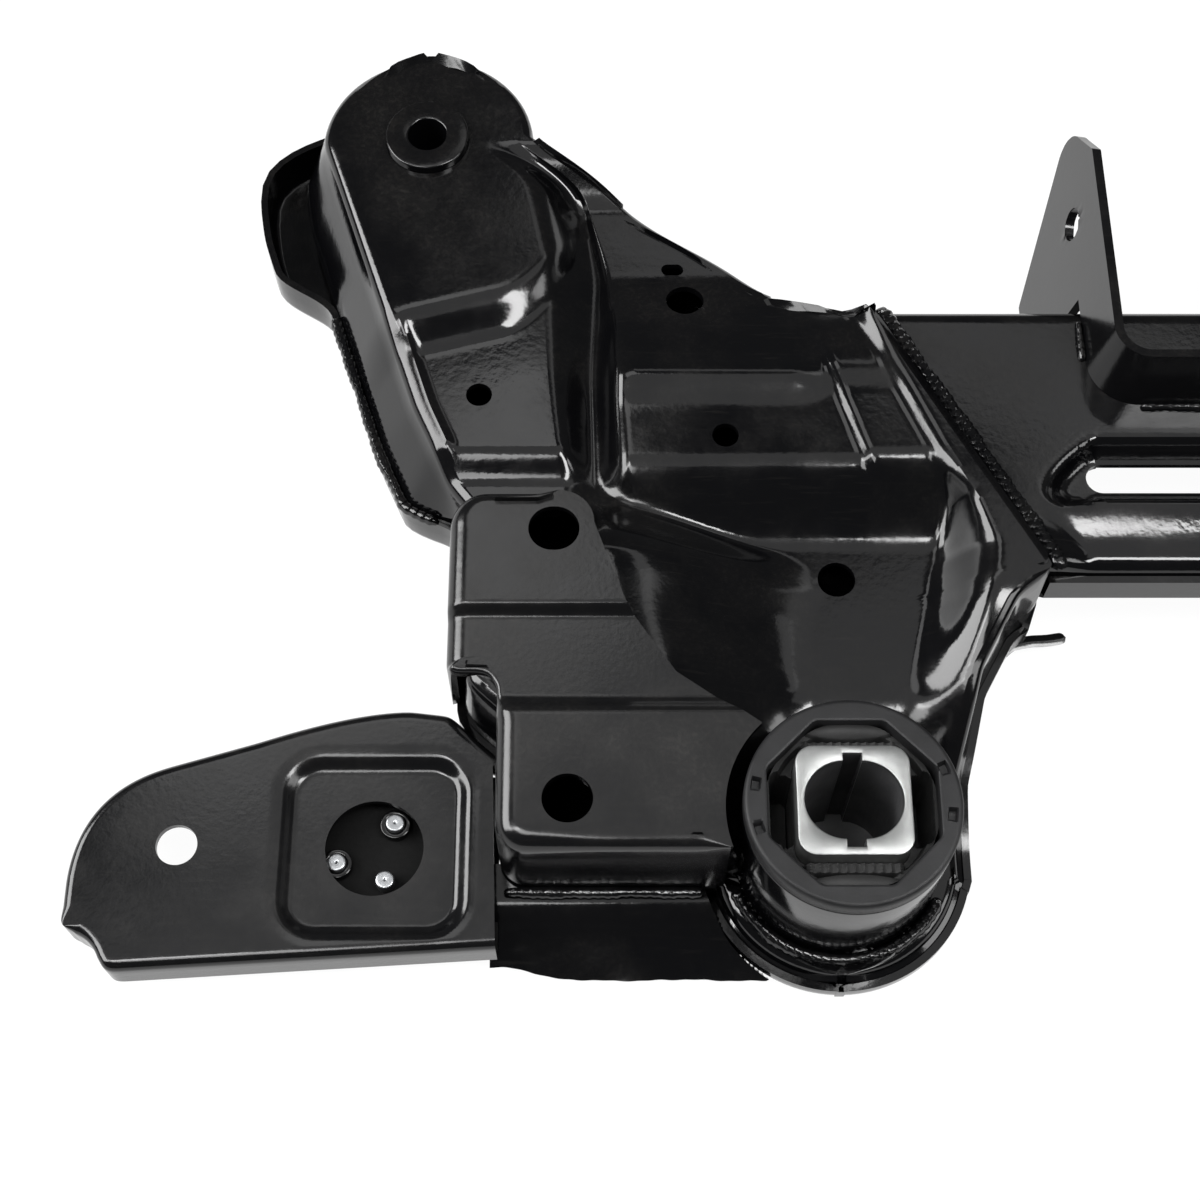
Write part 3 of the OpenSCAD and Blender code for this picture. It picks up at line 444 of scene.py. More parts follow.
def upper_shell():
    """The pressed upper shell: walls with rounded bends, and a top that follows pressed_height."""
    row_step, arm_cells, body_cells = 1.7, 44, 84
    outer_bend, inner_bend, cut_bend, end_out = 6.0, 4.5, 0.4, 2.05
    outer, crease, inner, y = box_rows(row_step)
    o, c, n, yy = outer[:, None], crease[:, None], inner[:, None], y[:, None]
    out_n, in_n = edge_normals(outer, y, 1), edge_normals(inner, y, -1)
    width = outer - inner
    seam = at_seam(y)
    r_o = np.minimum(outer_bend, width / 5)[:, None]
    r_n = np.minimum(inner_bend, width / 5)[:, None] * (1 - seam) + cut_bend * seam
    on_arm = mix(o - r_o, c, np.linspace(0, 1, arm_cells)[None, :-1])
    on_body = mix(c, n + r_n, np.linspace(0, 1, body_cells)[None])
    x = np.concatenate([on_arm, on_body], 1)
    z = pressed_height(x, yy, o, c, n)
    top = np.stack([x, np.broadcast_to(yy, x.shape), z], -1)
    lowest = SHEET + 5

    def wall(edge, normal, run, radius, z_edge, rim, flat):
        """From the top's edge over the bend and down the wall behind the pan's rim; flat where it is cut."""
        a = np.linspace(0, np.pi / 2, 6)[None, 1:]
        down = np.linspace(0, 1, 6)[None, 1:]
        lip = np.maximum(rim - PAN_LAP, lowest)
        foot = np.minimum(rim + 2, z_edge - radius[:, 0] - 1)
        reach = np.concatenate([radius * (np.sin(a) - 1), run[:, None] * down, run[:, None]], 1)
        bend_z = z_edge[:, None] - radius * (1 - np.cos(a))
        wall_z = mix(z_edge[:, None] - radius, foot[:, None], down)
        zz = np.concatenate([bend_z, wall_z, lip[:, None]], 1)
        level = np.linspace(-0.4, 0, reach.shape[1])[None]
        reach, zz = mix(reach, level, flat), mix(zz, SEAM_Z + 0 * zz, flat)
        base = np.stack([edge, y], -1)
        return lifted(base[:, None] + normal[:, None] * reach[..., None], zz)

    w_o = wall(outer, out_n, arm_run(y), r_o, z[:, 0], pan_rim(y, False), 0 * seam)
    w_n = wall(inner, in_n, WALL_RUN + 0 * y, r_n, z[:, -1], pan_rim(y, True), seam)
    p = np.concatenate([w_o[:, ::-1], top, w_n], 1)
    first, last = p[:1].copy(), p[-1:].copy()
    for row, way, rim, end in ((first, 1, PAN_RIM, y[0]), (last, -1, EYE_RIM, y[-1])):
        low = max(rim - PAN_LAP, lowest)
        row[..., 1] = end + way * end_out
        row[..., 2] = low + 0.05 * (row[..., 2] - low)
    return cut_holes(*surface(np.concatenate([first, p, last], 0)), SHELL_HOLES)


def lower_shell():
    """The pan under the side box: rim, upright wall, round corner and flat floor across to the other edge."""
    row_step, corner, floor_cells = 3.0, 6.0, 14
    end_curve = ((1.6, 0.0), (3.6, 0.04), (5.0, 0.2), (5.25, 0.6), (5.25, 0.97))
    outer, _, inner, y = box_rows(row_step)
    out_n, in_n = edge_normals(outer, y, 1), edge_normals(inner, y, -1)
    a = np.linspace(0, np.pi / 2, 6)[None]
    seam = at_seam(y)

    def side(edge, normal, run, rim, flat):
        """From the rim down the wall and round the corner; cut back along the seam."""
        reach = run[:, None] + LAP + SHEET
        reach = np.concatenate([reach, reach, reach - corner * (1 - np.cos(a))], 1)
        round_z = np.broadcast_to(corner * (1 - np.sin(a)), (len(y), 6))
        zz = np.concatenate([rim[:, None], mix(rim, corner, 0.5)[:, None], round_z], 1)
        under = CROSS_REAR_Z * np.clip((CROSS_REAR + UNDER_RUN - y) / UNDER_RUN, 0, 1)[:, None]
        reach = mix(reach, np.linspace(-0.1, -3, 8)[None], flat)
        zz = mix(zz, under * np.linspace(0.99, 0, 8)[None], flat)
        base = np.stack([edge, y], -1)
        return lifted(base[:, None] + normal[:, None] * reach[..., None], zz)

    bulge = LOBE_OUT * ramp(NOSE[1] - 61, NOSE[1] - 31, y) * ramp(NOSE[1] + 34, NOSE[1] + 4, y)
    s_o = side(outer, out_n, arm_run(y) + bulge, pan_rim(y, False), 0 * seam)
    s_n = side(inner, in_n, WALL_RUN + 0 * y, pan_rim(y, True), seam)
    floor = mix(s_o[:, -1:], s_n[:, -1:], np.linspace(0, 1, floor_cells)[None, 1:-1, None])
    p = np.concatenate([s_o, floor, s_n[:, ::-1]], 1)
    ends = []
    for row, way, rim, end in ((p[:1], 1, PAN_RIM, y[0]), (p[-1:], -1, EYE_RIM, y[-1])):
        steps = []
        for out, up in end_curve:
            q = row.copy()
            q[..., 1] = end + way * out
            q[..., 2] = mix(q[..., 2], rim, up)
            steps.append(q)
        ends.append(steps)
    return cut_holes(*surface(np.concatenate(ends[0][::-1] + [p] + ends[1], 0)), PAN_HOLES)


# Brackets

def pad_height(x, y):
    """Height of the bracket's pads, 4 mm lower in the recess between them."""
    return PAD_TOP - RECESS * ramp(-70.5, -75.5, y) * ramp(-116, -108, y) + 0 * x


def pad_bracket():
    """The bracket over the side box: two pads and a recess, three walls and a notch in the outer one."""
    n, cells = 240, 64
    rim = track([([(266, -22), (295, -22)], 0.10), (arc(295, -36, 14, 90, 0), 0.18),
                 ([(309, -36), (309, -93)], 0.42), (arc(304, -93, 5, 0, -90), 0.46),
                 ([(304, -98), (297, -98)], 0.49), (arc(297, -106, 8, 90, 180), 0.56),
                 ([(289, -106), (289, -157)], 0.72), (arc(277, -157, 12, 0, -90), 0.82),
                 ([(277, -169), (202.5, -169)], 1.0)], n)
    near = arc(*BUSH, 46, 47, -18.5, 40)
    edge = track([(arc(266, -36, 13.7, 90, 180), 0.17), ([(252.3, -36), (246, -54), (240, -70)], 0.34),
                  ([(240, -70), (221, -98), near[0]], 0.60), (near, 1.0)], n)
    t = np.linspace(0, 1, n)
    notch = ramp(0.425, 0.445, t) * ramp(0.6, 0.56, t)
    foot = mix(mix(PAD_FRONT_FOOT, PAD_FOOT, ramp(0.08, 0.2, t)), NOTCH_FOOT, notch)
    bend = 5 + 3 * ramp(0.1, 0.2, t) * ramp(0.9, 0.8, t)
    radius = np.minimum(bend, 0.45 * np.linalg.norm(rim - edge, axis=1))
    radius = mix(radius, NOTCH_BEND, notch)
    rim = softened(rim, 3)
    d = np.gradient(rim, axis=0)
    normal = unit(np.stack([d[:, 1], -d[:, 0]], -1))
    if np.sum(normal * (rim - edge)) < 0:
        normal = -normal
    turned, inset = turned_edge(rim, normal, radius[:, None], pad_height, foot[:, None])
    p = np.concatenate([turned, plate_between(inset, edge, pad_height, cells)], 1)
    return cut_holes(*surface(p), PAD_HOLES)


def wing_height(x, y):
    """Height of the wing's plate, with a pressed pad 4 mm deep round the large hole."""
    d = closed_loop_distance(x - DISH[0], y - DISH[1], DISH_HALF, DISH_HALF, DISH_CORNER)
    return WING_TOP - 3.6 * ramp(1.2, -5.2, d) - 0.4 * ramp(5, 0, d)


def wing_bracket():
    """The wing: a plate between a front and a rear rim that meet at its tip, both turned down over a bend."""
    n, cells, bend = 210, 86, 3.8
    u = np.linspace(0, 1, 24)[:, None]

    def curve(a, b, c):
        """A quadratic curve from a to c, drawn towards b."""
        a, b, c = np.array(a, float), np.array(b, float), np.array(c, float)
        return mix(mix(a, b, u), mix(b, c, u), u)

    front = track([([(289.4, -118.9), (309.4, -100.9)], 0.12), ([(309.4, -100.9), (325, -99)], 0.2),
                   (curve((325, -99), (346.7, -99), (384.4, -112)), 0.48),
                   ([(384.4, -112), (417.8, -122)], 0.64),
                   (curve((417.8, -122), (452, -132), (454, -168)), 0.88),
                   ([(454, -168), (454, -183)], 0.96), (arc(449, -183, 5, 0, -45), 1.0)], n)
    rear = track([([(289.4, -195), (309.4, -196.2)], 0.12), ([(309.4, -196.2), (384, -200.7)], 0.48),
                  ([(384, -200.7), (433, -203.7)], 0.72), (arc(433, -198.7, 5, -90, 0), 0.77),
                  (arc(454, -204, 16, 161.8, 108.2), 0.96), (arc(449, -183, 5, -90, -45), 1.0)], n)
    front, rear = softened(front, 4), softened(rear, 4)
    apart = np.linalg.norm(front - rear, axis=1)
    radius = np.minimum(bend, 0.3 * apart + 0.02)[:, None]
    halves = []
    for rim, way in ((front, 1), (rear, -1)):
        d = np.gradient(softened(rim, 3), axis=0)
        out = unit(np.stack([-d[:, 1], d[:, 0]], -1) * way)
        halves.append(turned_edge(rim, out, radius, wing_height, WING_FOOT))
    (front_edge, front_inset), (rear_edge, rear_inset) = halves
    flat = plate_between(front_inset, rear_inset, wing_height, cells)
    return cut_holes(*surface(np.concatenate([front_edge, flat, rear_edge[:, ::-1]], 1)), WING_HOLES)


def rear_skirt():
    """The sloping plate under the pad bracket: a bent section carried along X, cut round the bush eye.

    Its lower edge is ragged by three waves, and its surface there is lumpy.
    """
    columns, rows, outer_x, inner_x = 160, 40, 292.6, 160
    bends = np.array([(-157, 19.2), (SKIRT_TOP_Y, 19), (-174.5, 18.9), (-180, 16.5), (-184.5, 11),
                      (-187, 9.5), (-201, 3.6)])
    run = run_along(bends)
    t = np.linspace(0, run[-1], rows)
    line = softened(np.stack([np.interp(t, run, bends[:, k]) for k in range(2)], -1), 2)
    x = np.linspace(outer_x, inner_x, columns)[:, None]
    rag = 0.7 * np.sin(x / 7.3) + 0.4 * np.sin(x / 2.9 + 1) + 0.25 * np.sin(x / 1.4)
    reach = mix(0.84, 1.0, ramp(288, 262, x)) * (1 + 0.012 * rag)
    y = SKIRT_TOP_Y + (line[None, :, 0] - SKIRT_TOP_Y) * reach
    lump = np.sin(x / 4.3 + np.sin(y / 3.7)) + 0.7 * np.sin(x / 2.9 + y / 2.3)
    lump = lump + 0.5 * np.sin(x / 1.9 - y / 3.1)
    z = np.interp(-y, -line[:, 0], line[:, 1])
    z = z + 0.1 * ramp(-188, -192, y) * lump * ramp(205, 225, x)
    p = np.stack([np.broadcast_to(x, y.shape), y, z], -1)
    return cut_holes(*surface(p), [(*BUSH, *BUSH, SKIRT_CUT_R)])


def neck_tab():
    """The strip that stands out beside the neck: a width carried along a bent line, rounded at its tip."""
    n, across, tip_share, crown = 60, 9, 0.07, 0.5
    line = track([([(22, -17.8), (9.1, -10.6), (0, -8.6)], 0.6),
                  ([(0, -8.6), (-7, -8.3), (-14.6, -7)], 1.0)], n)
    line = softened(line, 4)
    d = np.gradient(line, axis=0)
    normal = unit(np.stack([-d[:, 1], d[:, 0]], -1))
    t = np.linspace(0, 1, n)
    half = TAB_HALF * np.sqrt(1 - 0.998 * np.clip((t - 0.93) / tip_share, 0, 1) ** 2)
    v = np.linspace(-1, 1, across)
    xy = SEAM_REAR + line[:, None] + normal[:, None] * (half[:, None] * v)[..., None]
    return surface(lifted(xy, TAB_TOP - crown * v[None, :] ** 2))


# Bush

def bush_tube():
    """The tube's wall, turned round the bush axis."""
    inside, foot, top = TUBE_R - SHEET, 3.2, 69.8
    corners = [(inside, foot), (TUBE_R, foot), (TUBE_R, top), (inside, top)]
    return lathe(rounded_section(corners, 0.8), BUSH, 160)


def bush_sleeve():
    """The bush's ring: a closed section for each angle, with an eight-sided opening and four windows."""
    n, windows, window_depth = 288, (159, 188, 11, -16), 3.0
    a = full_turn(n)
    eighth = (a + np.pi / 8) % (np.pi / 4) - np.pi / 8
    r_in = np.minimum(31.2 / np.cos(eighth), 33.4)
    one = np.ones_like(a)
    r_top = mix(38.2 * one, r_in + 0.9, np.linspace(0, 1, 20)[None])
    z_top = RING_TOP * np.ones_like(r_top)
    for at in windows:
        off = a - math.radians(at)
        turn = np.arctan2(np.sin(off), np.cos(off)) * RING_R
        window = ramp(2.4, 1.7, np.abs(turn)) * ramp(1.9, 1.3, np.abs(r_top - RING_R))
        z_top = z_top - window_depth * window
    outer = [(36.8, BUSH_FOOT), (36.8, 69.9), (39.6, 70.0), (40, 70.6), (40, 76.2), (39.6, 77.3),
             (39.0, 77.85)]
    inner_r = [r_in + 0.3, r_in, r_in, r_in, 32.3 * one, 32.3 * one, 36.8 * one]
    inner_z = [77.7, 77.0, 72.0, 58.0, 54.0, BUSH_FOOT, BUSH_FOOT]
    r = np.concatenate([one * q[0] for q in outer] + [r_top] + inner_r, 1)
    z = np.concatenate([one * q[1] for q in outer] + [z_top] + [one * q for q in inner_z], 1)
    return surface(polar(r, a, z), True)


def core_radius(a, half, corner):
    """Radius of a rounded square at each angle, found by stepping along the ray to its edge."""
    r = half * np.ones_like(a)
    for _ in range(24):
        r = r - closed_loop_distance(r * np.cos(a), r * np.sin(a), half, half, corner) * 0.8
    return r


def bush_rubber():
    """The rubber: a polar height field with voids beside the core, toothed stops and lens-shaped blocks."""
    n, rings, outside, tooth_pitch, void_floor = 300, 42, 32.1, 3.2, 38.0
    a = full_turn(n)
    r = core_radius(a, CORE_HALF + 0.2, CORE_CORNER)
    r = mix(r, outside * np.ones_like(a), np.linspace(0, 1, rings)[None])
    x, y = r * np.cos(a), r * np.sin(a)
    z = 66 + 5.0 * ramp(29.0, 30.2, r)
    teeth = 1.4 * np.abs(np.sin(np.pi * x / tooth_pitch))
    stop = ramp(25.6, 25.0, np.abs(y)) * ramp(18.5, 17.5, np.abs(x)) * ramp(21.0, 21.4, np.abs(y))
    z = mix(z, 72.5 - teeth, stop)
    lens = np.hypot(x / 17.5, (np.abs(y) - 29.2) / 3.6)
    z = mix(z, 74.5 - 2.5 * lens ** 2, ramp(1.02, 0.94, lens))
    void = closed_loop_distance(np.abs(x) - 25.2, y, 4.4, 13.5, 3)
    z = mix(z, void_floor, ramp(0.4, -0.6, void))
    p = np.stack([BUSH[0] + x, BUSH[1] + y, z], -1)
    sides = [lifted(p[:, k:k + 1, :2], BUSH_FOOT) for k in (rings - 1, 0)]
    return surface(np.concatenate([p, *sides, p[:, :1]], 1), True)


def core_hole(a):
    """Radius of the core's hole: an oval 36 by 29.5 mm with a 7 mm key slot at each end of its short axis."""
    end_r, end_off, slot_reach, slot_half = 14.75, 3.25, 17.75, 3.5
    s, c = np.abs(np.sin(a)) + 1e-6, np.abs(np.cos(a)) + 1e-6
    rounded = end_off * c + np.sqrt(end_r ** 2 - end_off ** 2 * s * s)
    oval = np.where(end_r * c / s <= end_off, end_r / s, rounded)
    return np.maximum(oval, np.minimum(slot_reach / s, slot_half / c))


def core_bore():
    """Painted shade inside the core's hole: a dark sleeve just inside the bar, with a floor under it."""
    n, clear = 360, 0.1
    a = full_turn(n)
    hole = core_hole(a) - clear
    r = np.concatenate([hole, hole, 0.05 + 0 * hole], 1)
    return surface(polar(r, a, np.array([78.4, 11.5, 11.4])), True)


def bush_core():
    """The core: a rounded square bar round its hole, edges broken."""
    n = 900
    a = full_turn(n)
    out = core_radius(a, CORE_HALF, CORE_CORNER)
    hole = core_hole(a)
    middle = mix(out - 0.9, hole + 0.6, 0.5)
    r = np.concatenate([out, out, out - 0.3, out - 0.9, middle, hole + 0.6, hole + 0.2, hole, hole, out], 1)
    z = np.array([BUSH_FOOT, 79.1, 79.75, CORE_TOP, CORE_TOP, CORE_TOP, 79.8, 79.4, BUSH_FOOT, BUSH_FOOT])
    return surface(polar(r, a, z), True)


# Cross-member and clevis

def crossmember():
    """The upper channel: a hat section carried from seam to seam, with a sunk channel round a slot."""
    columns, flat_points = 150, 72
    a = np.radians(np.linspace(0, 90, 8))
    rear_y, front_y, bend_z = CROSS_REAR + CROSS_BEND, CROSS_FRONT - CROSS_BEND, CROSS_TOP - CROSS_BEND
    rear = np.stack([rear_y - CROSS_BEND * np.cos(a), bend_z + CROSS_BEND * np.sin(a)], -1)
    front = np.stack([front_y + CROSS_BEND * np.sin(a), bend_z + CROSS_BEND * np.cos(a)], -1)
    flat = lifted(np.linspace(rear_y, front_y, flat_points)[1:-1, None], CROSS_TOP)
    rear_wall = [(CROSS_REAR, 43), (CROSS_REAR, 48)]
    front_wall = [(CROSS_FRONT, 44), (CROSS_FRONT, 30), (CROSS_FRONT, 14)]
    section = np.vstack([rear_wall, rear, flat, front, front_wall])
    y, z = section[None, :, 0], section[None, :, 1]
    along = (y - SEAM_FRONT[1]) / (SEAM_REAR[1] - SEAM_FRONT[1])
    half = mix(SEAM_FRONT[0], SEAM_REAR[0], along) - 0.3
    x = np.linspace(-1, 1, columns)[:, None] * half
    beyond = np.maximum(np.abs(x) - SLOT_HALF, 0)
    d = np.hypot(0.55 * beyond, y - SLOT_Y + 9 * ramp(0, 26, beyond))
    d = np.minimum(d, np.hypot(beyond, y - SLOT_Y))
    fall = REAR_FALL * ramp(-20, -44, y) * ramp(half - 2, half - 22, np.abs(x))
    on_top = z > CROSS_TOP - 0.1
    z = z - np.where(on_top, np.maximum(CHANNEL * ramp(15, 8.0, d), fall), fall)
    p = np.stack([x, np.broadcast_to(y, x.shape), z], -1)
    return cut_holes(*surface(p), [(-SLOT_HALF, SLOT_Y, SLOT_HALF, SLOT_Y, SLOT_R)])


def clevis():
    """The clevis: a plate bent to a U in plan, leaning in as it rises, its cheeks cut to a side outline."""
    rows, middle = 30, 15
    tip_y, step_y, low_y, low_z = 149.4, 73.3, 106.9, 3.0
    bend_x, bend_y, bend_r = 30, 42.5, 20
    cheek_y = np.r_[np.linspace(tip_y, 73.4, 70), np.linspace(73.2, 43, 20)]
    cheek = np.stack([np.full(90, CLEVIS_HALF), cheek_y], -1)
    web = np.stack([np.linspace(29, -29, 50), np.full(50, bend_y - bend_r)], -1)
    out = np.vstack([cheek, arc(bend_x, bend_y, bend_r, 0, -90, 24), web,
                     arc(-bend_x, bend_y, bend_r, -90, -180, 24), cheek[::-1] * [-1, 1]])
    y = out[:, 1]
    nose = arc(135.5, 66, 14, -35, 60, 40)
    (low_end, low_end_z), (high_end, high_end_z) = nose[0], nose[-1]
    under = np.where(y <= low_y, low_z, np.interp(y, [low_y, low_end], [low_z, low_end_z]))
    low = np.where(y <= step_y, CLEVIS_FOOT, under)
    low = np.where(y > low_end, np.interp(y, nose[:middle + 1, 0], nose[:middle + 1, 1]), low)
    high = np.interp(y, [129.5, high_end], [CLEVIS_TOP, high_end_z])
    high = np.where(y > high_end, np.interp(-y, -nose[middle:, 0], nose[middle:, 1]), high)
    z = mix(low[:, None], np.maximum(high, low + 0.2)[:, None], np.linspace(0, 1, rows)[None])
    d = unit(np.gradient(out, axis=0))
    inward = np.stack([d[:, 1], -d[:, 0]], -1)
    lean = (z - CLEVIS_FOOT) * math.tan(CLEVIS_LEAN)
    p, f = surface(lifted(out[:, None] + inward[:, None] * lean[..., None], z))
    seen_from_side, f = cut_holes(p[:, [1, 2, 0]], f, CLEVIS_HOLES)
    return seen_from_side[:, [2, 0, 1]], f


# Finishes

def hex_colour(text):
    """Linear RGBA of an sRGB hex colour."""
    c = np.array([int(text[i:i + 2], 16) / 255 for i in (1, 3, 5)])
    c = np.where(c <= 0.04045, c / 12.92, ((c + 0.055) / 1.055) ** 2.4)
    return (*c.tolist(), 1.0)


def node(tree, kind, inputs=None, **settings):
    """Adds a node, sets its settings, and links or sets its inputs."""
    n = tree.nodes.new(kind)
    for key, value in settings.items():
        setattr(n, key, value)
    for key, value in (inputs or {}).items():
        if isinstance(value, bpy.types.NodeSocket):
            tree.links.new(value, n.inputs[key])
        else:
            n.inputs[key].default_value = value
    return n


def new_material(name):
    """A new node material with nothing but its output: the material, its tree and the output node."""
    mat = bpy.data.materials.new(name)
    mat.use_nodes = True
    mat.node_tree.nodes.clear()
    return mat, mat.node_tree, node(mat.node_tree, "ShaderNodeOutputMaterial")


def per_mm(size):
    """Texture scale, in 1/m, of a pattern of the given size in millimetres."""
    return 1000.0 / size


def dip_coat(name, base, dust, rough, peel, dusty, relief=0.12):
    """Black cathodic dip coat on steel: smooth and dark, with a faint orange peel; peel is its size in mm.

    Dust settles in clouds of 45 mm on what faces up, with dry specks of 1.8 mm and rub marks 22 mm long.
    """
    if name in bpy.data.materials:
        return bpy.data.materials[name]
    mat, tree, out = new_material(name)
    where = node(tree, "ShaderNodeTexCoord").outputs["Object"]
    cloud = node(tree, "ShaderNodeTexNoise",
                 {"Vector": where, "Scale": per_mm(45), "Detail": 6.0, "Roughness": 0.65})
    speck = node(tree, "ShaderNodeTexNoise", {"Vector": where, "Scale": per_mm(1.8), "Detail": 3.0})
    skin = node(tree, "ShaderNodeTexNoise", {"Vector": where, "Scale": per_mm(peel), "Detail": 2.0})
    long = node(tree, "ShaderNodeMapping",
                {"Vector": where, "Rotation": (0, 0, 0.6), "Scale": (1.0, 14.0, 1.0)})
    rub = node(tree, "ShaderNodeTexNoise",
               {"Vector": long.outputs[0], "Scale": per_mm(22), "Detail": 8.0, "Roughness": 0.7})
    up = node(tree, "ShaderNodeSeparateXYZ", {0: node(tree, "ShaderNodeNewGeometry").outputs["Normal"]})
    level = node(tree, "ShaderNodeMapRange", {"Value": up.outputs["Z"], "From Min": 0.55, "From Max": 0.98})
    patch = node(tree, "ShaderNodeMapRange", {"Value": cloud.outputs[0], "From Min": 0.42, "From Max": 0.72})
    dots = node(tree, "ShaderNodeMapRange",
                {"Value": speck.outputs[0], "From Min": 0.48, "From Max": 0.72, "To Min": 0.35})
    lines = node(tree, "ShaderNodeMapRange",
                 {"Value": rub.outputs[0], "From Min": 0.56, "From Max": 0.7, "To Max": 0.5})
    film = node(tree, "ShaderNodeMath", {0: patch.outputs[0], 1: dots.outputs[0]}, operation="MULTIPLY")
    both = node(tree, "ShaderNodeMath", {0: film.outputs[0], 1: lines.outputs[0]}, operation="MAXIMUM")
    flat = node(tree, "ShaderNodeMath", {0: both.outputs[0], 1: level.outputs[0]}, operation="MULTIPLY")
    amount = node(tree, "ShaderNodeMath", {0: flat.outputs[0], 1: dusty}, operation="MULTIPLY")
    colour = node(tree, "ShaderNodeMix", data_type="RGBA",
                  inputs={"Factor": amount.outputs[0], "A": hex_colour(base), "B": hex_colour(dust)})
    dull = node(tree, "ShaderNodeMapRange",
                {"Value": cloud.outputs[0], "From Min": 0.3, "From Max": 0.75,
                 "To Min": rough - 0.05, "To Max": rough + 0.09})
    matt = node(tree, "ShaderNodeMath",
                {0: amount.outputs[0], 1: 0.5, 2: dull.outputs[0]}, operation="MULTIPLY_ADD")
    bump = node(tree, "ShaderNodeBump", {"Height": skin.outputs[0], "Strength": relief, "Distance": 0.0003})
    shade = node(tree, "ShaderNodeBsdfPrincipled",
                 {"Base Color": colour.outputs["Result"], "Roughness": matt.outputs[0],
                  "Normal": bump.outputs[0]})
    tree.links.new(shade.outputs[0], out.inputs[0])
    return mat


def moulded(name, base, pale, rough, grain, metallic=0.0, stretch=(1, 1, 1), shine=0.5):
    """A plain moulded, plated or sawn surface: two close tones in clouds of 14 mm, and a fine grain."""
    if name in bpy.data.materials:
        return bpy.data.materials[name]
    mat, tree, out = new_material(name)
    where = node(tree, "ShaderNodeTexCoord").outputs["Object"]
    cloud = node(tree, "ShaderNodeTexNoise", {"Vector": where, "Scale": per_mm(14), "Detail": 5.0})
    tone = node(tree, "ShaderNodeMapRange", {"Value": cloud.outputs[0], "From Min": 0.35, "From Max": 0.7})
    colour = node(tree, "ShaderNodeMix", data_type="RGBA",
                  inputs={"Factor": tone.outputs[0], "A": hex_colour(base), "B": hex_colour(pale)})
    turned = node(tree, "ShaderNodeMapping", {"Vector": where, "Scale": stretch})
    fine = node(tree, "ShaderNodeTexNoise",
                {"Vector": turned.outputs[0], "Scale": per_mm(grain), "Detail": 3.0})
    dull = node(tree, "ShaderNodeMapRange",
                {"Value": fine.outputs[0], "To Min": rough - 0.08, "To Max": rough + 0.1})
    bump = node(tree, "ShaderNodeBump", {"Height": fine.outputs[0], "Strength": 0.25, "Distance": 0.0002})
    shade = node(tree, "ShaderNodeBsdfPrincipled",
                 {"Base Color": colour.outputs["Result"], "Metallic": metallic, "Roughness": dull.outputs[0],
                  "Normal": bump.outputs[0], "Specular IOR Level": shine})
    tree.links.new(shade.outputs[0], out.inputs[0])
    return mat


FINISHES = {
    # Dip coat on smooth pressed sheet: near black, and it mirrors the lamps almost sharply
    "gloss": lambda: dip_coat("dip_coat_gloss", "#050506", "#6a655e", rough=0.10, peel=3.0, dusty=0.05),
    # The same coat on the brackets' plainer sheet: a broader, greyer sheen
    "satin": lambda: dip_coat("dip_coat_satin", "#09090a", "#77726b", rough=0.17, peel=2.2, dusty=0.06),
    # The same coat over rippled welds: broken up into small sparkles
    "weld": lambda: dip_coat("dip_coat_on_weld", "#060607", "#77726b", rough=0.12, peel=1.6, dusty=0.06,
                             relief=0.6),
    # Moulded rubber: dull and black
    "rubber": lambda: moulded("moulded_rubber", "#0c0c0c", "#191919", rough=0.72, grain=0.9),
    # Moulded ring of filled plastic: dark grey with little shine
    "ring": lambda: moulded("moulded_ring", "#101011", "#1c1c1d", rough=0.48, grain=1.2, shine=0.3),
    # Sawn aluminium: pale, with streaks one way
    "aluminium": lambda: moulded("sawn_aluminium", "#8f908f", "#abacab", rough=0.42, grain=1.5, metallic=1.0,
                                 stretch=(1, 9, 1)),
    # Painted shade of the core's deep hole: dull dark grey, with streaks along it
    "bore": lambda: moulded("oxidised_bore", "#2a2a2b", "#3a3a3b", rough=0.6, grain=1.5, stretch=(1, 1, 0.2)),
    # Painted shade under the wing: black with hardly any shine, so the plate seen through the wing's large
    # hole reads as shade
    "matt": lambda: moulded("matt_primer", "#040404", "#080808", rough=0.8, grain=1.5, shine=0.15),
    # Zinc-plated pins: light grey metal
    "zinc": lambda: moulded("zinc_plated_steel", "#909294", "#aaacae", rough=0.34, grain=1.0, metallic=1.0),
}

# Solids that stay as they are, by the start of their names, and their finishes
# The wing plate takes the painted-shade black, which stands in for the shade seen through the wing's large
# hole
PLAIN = {"wing_plate": "matt", "crossmember": "gloss"}


class SUBFRAME_PG_settings(bpy.types.PropertyGroup):
    """Sizes that a user would change."""
    weld_pitch: bpy.props.FloatProperty(
        name="Weld ripple", description="Distance between weld ripples, mm", default=3.6, min=1.0, max=8.0)
    weld_height: bpy.props.FloatProperty(
        name="Weld height", description="Height of the seam weld, mm", default=3.4, min=1.0, max=5.0)
    sheet: bpy.props.FloatProperty(
        name="Sheet", description="Thickness of the pressed sheet, mm", default=SHEET, min=2.0, max=4.0)
    light: bpy.props.FloatProperty(
        name="Light", description="Level of the studio lights", default=1.0, min=0.1, max=4.0)
    floor: bpy.props.FloatVectorProperty(
        name="Floor", description="Colour of the floor", subtype="COLOR", default=(0.86, 0.86, 0.86))


class SUBFRAME_OT_shells(bpy.types.Operator):
    """Upper and lower shells of both side boxes"""
    bl_idname = "subframe.shells"
    bl_label = "Side shells"

    def execute(self, context):
        sheet = context.scene.subframe.sheet
        above = (220, 0, 400)
        both_sides("upper_shell_skin", *upper_shell(), "gloss", "gloss_black", ["upper_shell"], sheet)
        both_sides("lower_shell_skin", *lower_shell(), "gloss", "gloss_black", ["lower_shell"], sheet, above)
        return {"FINISHED"}


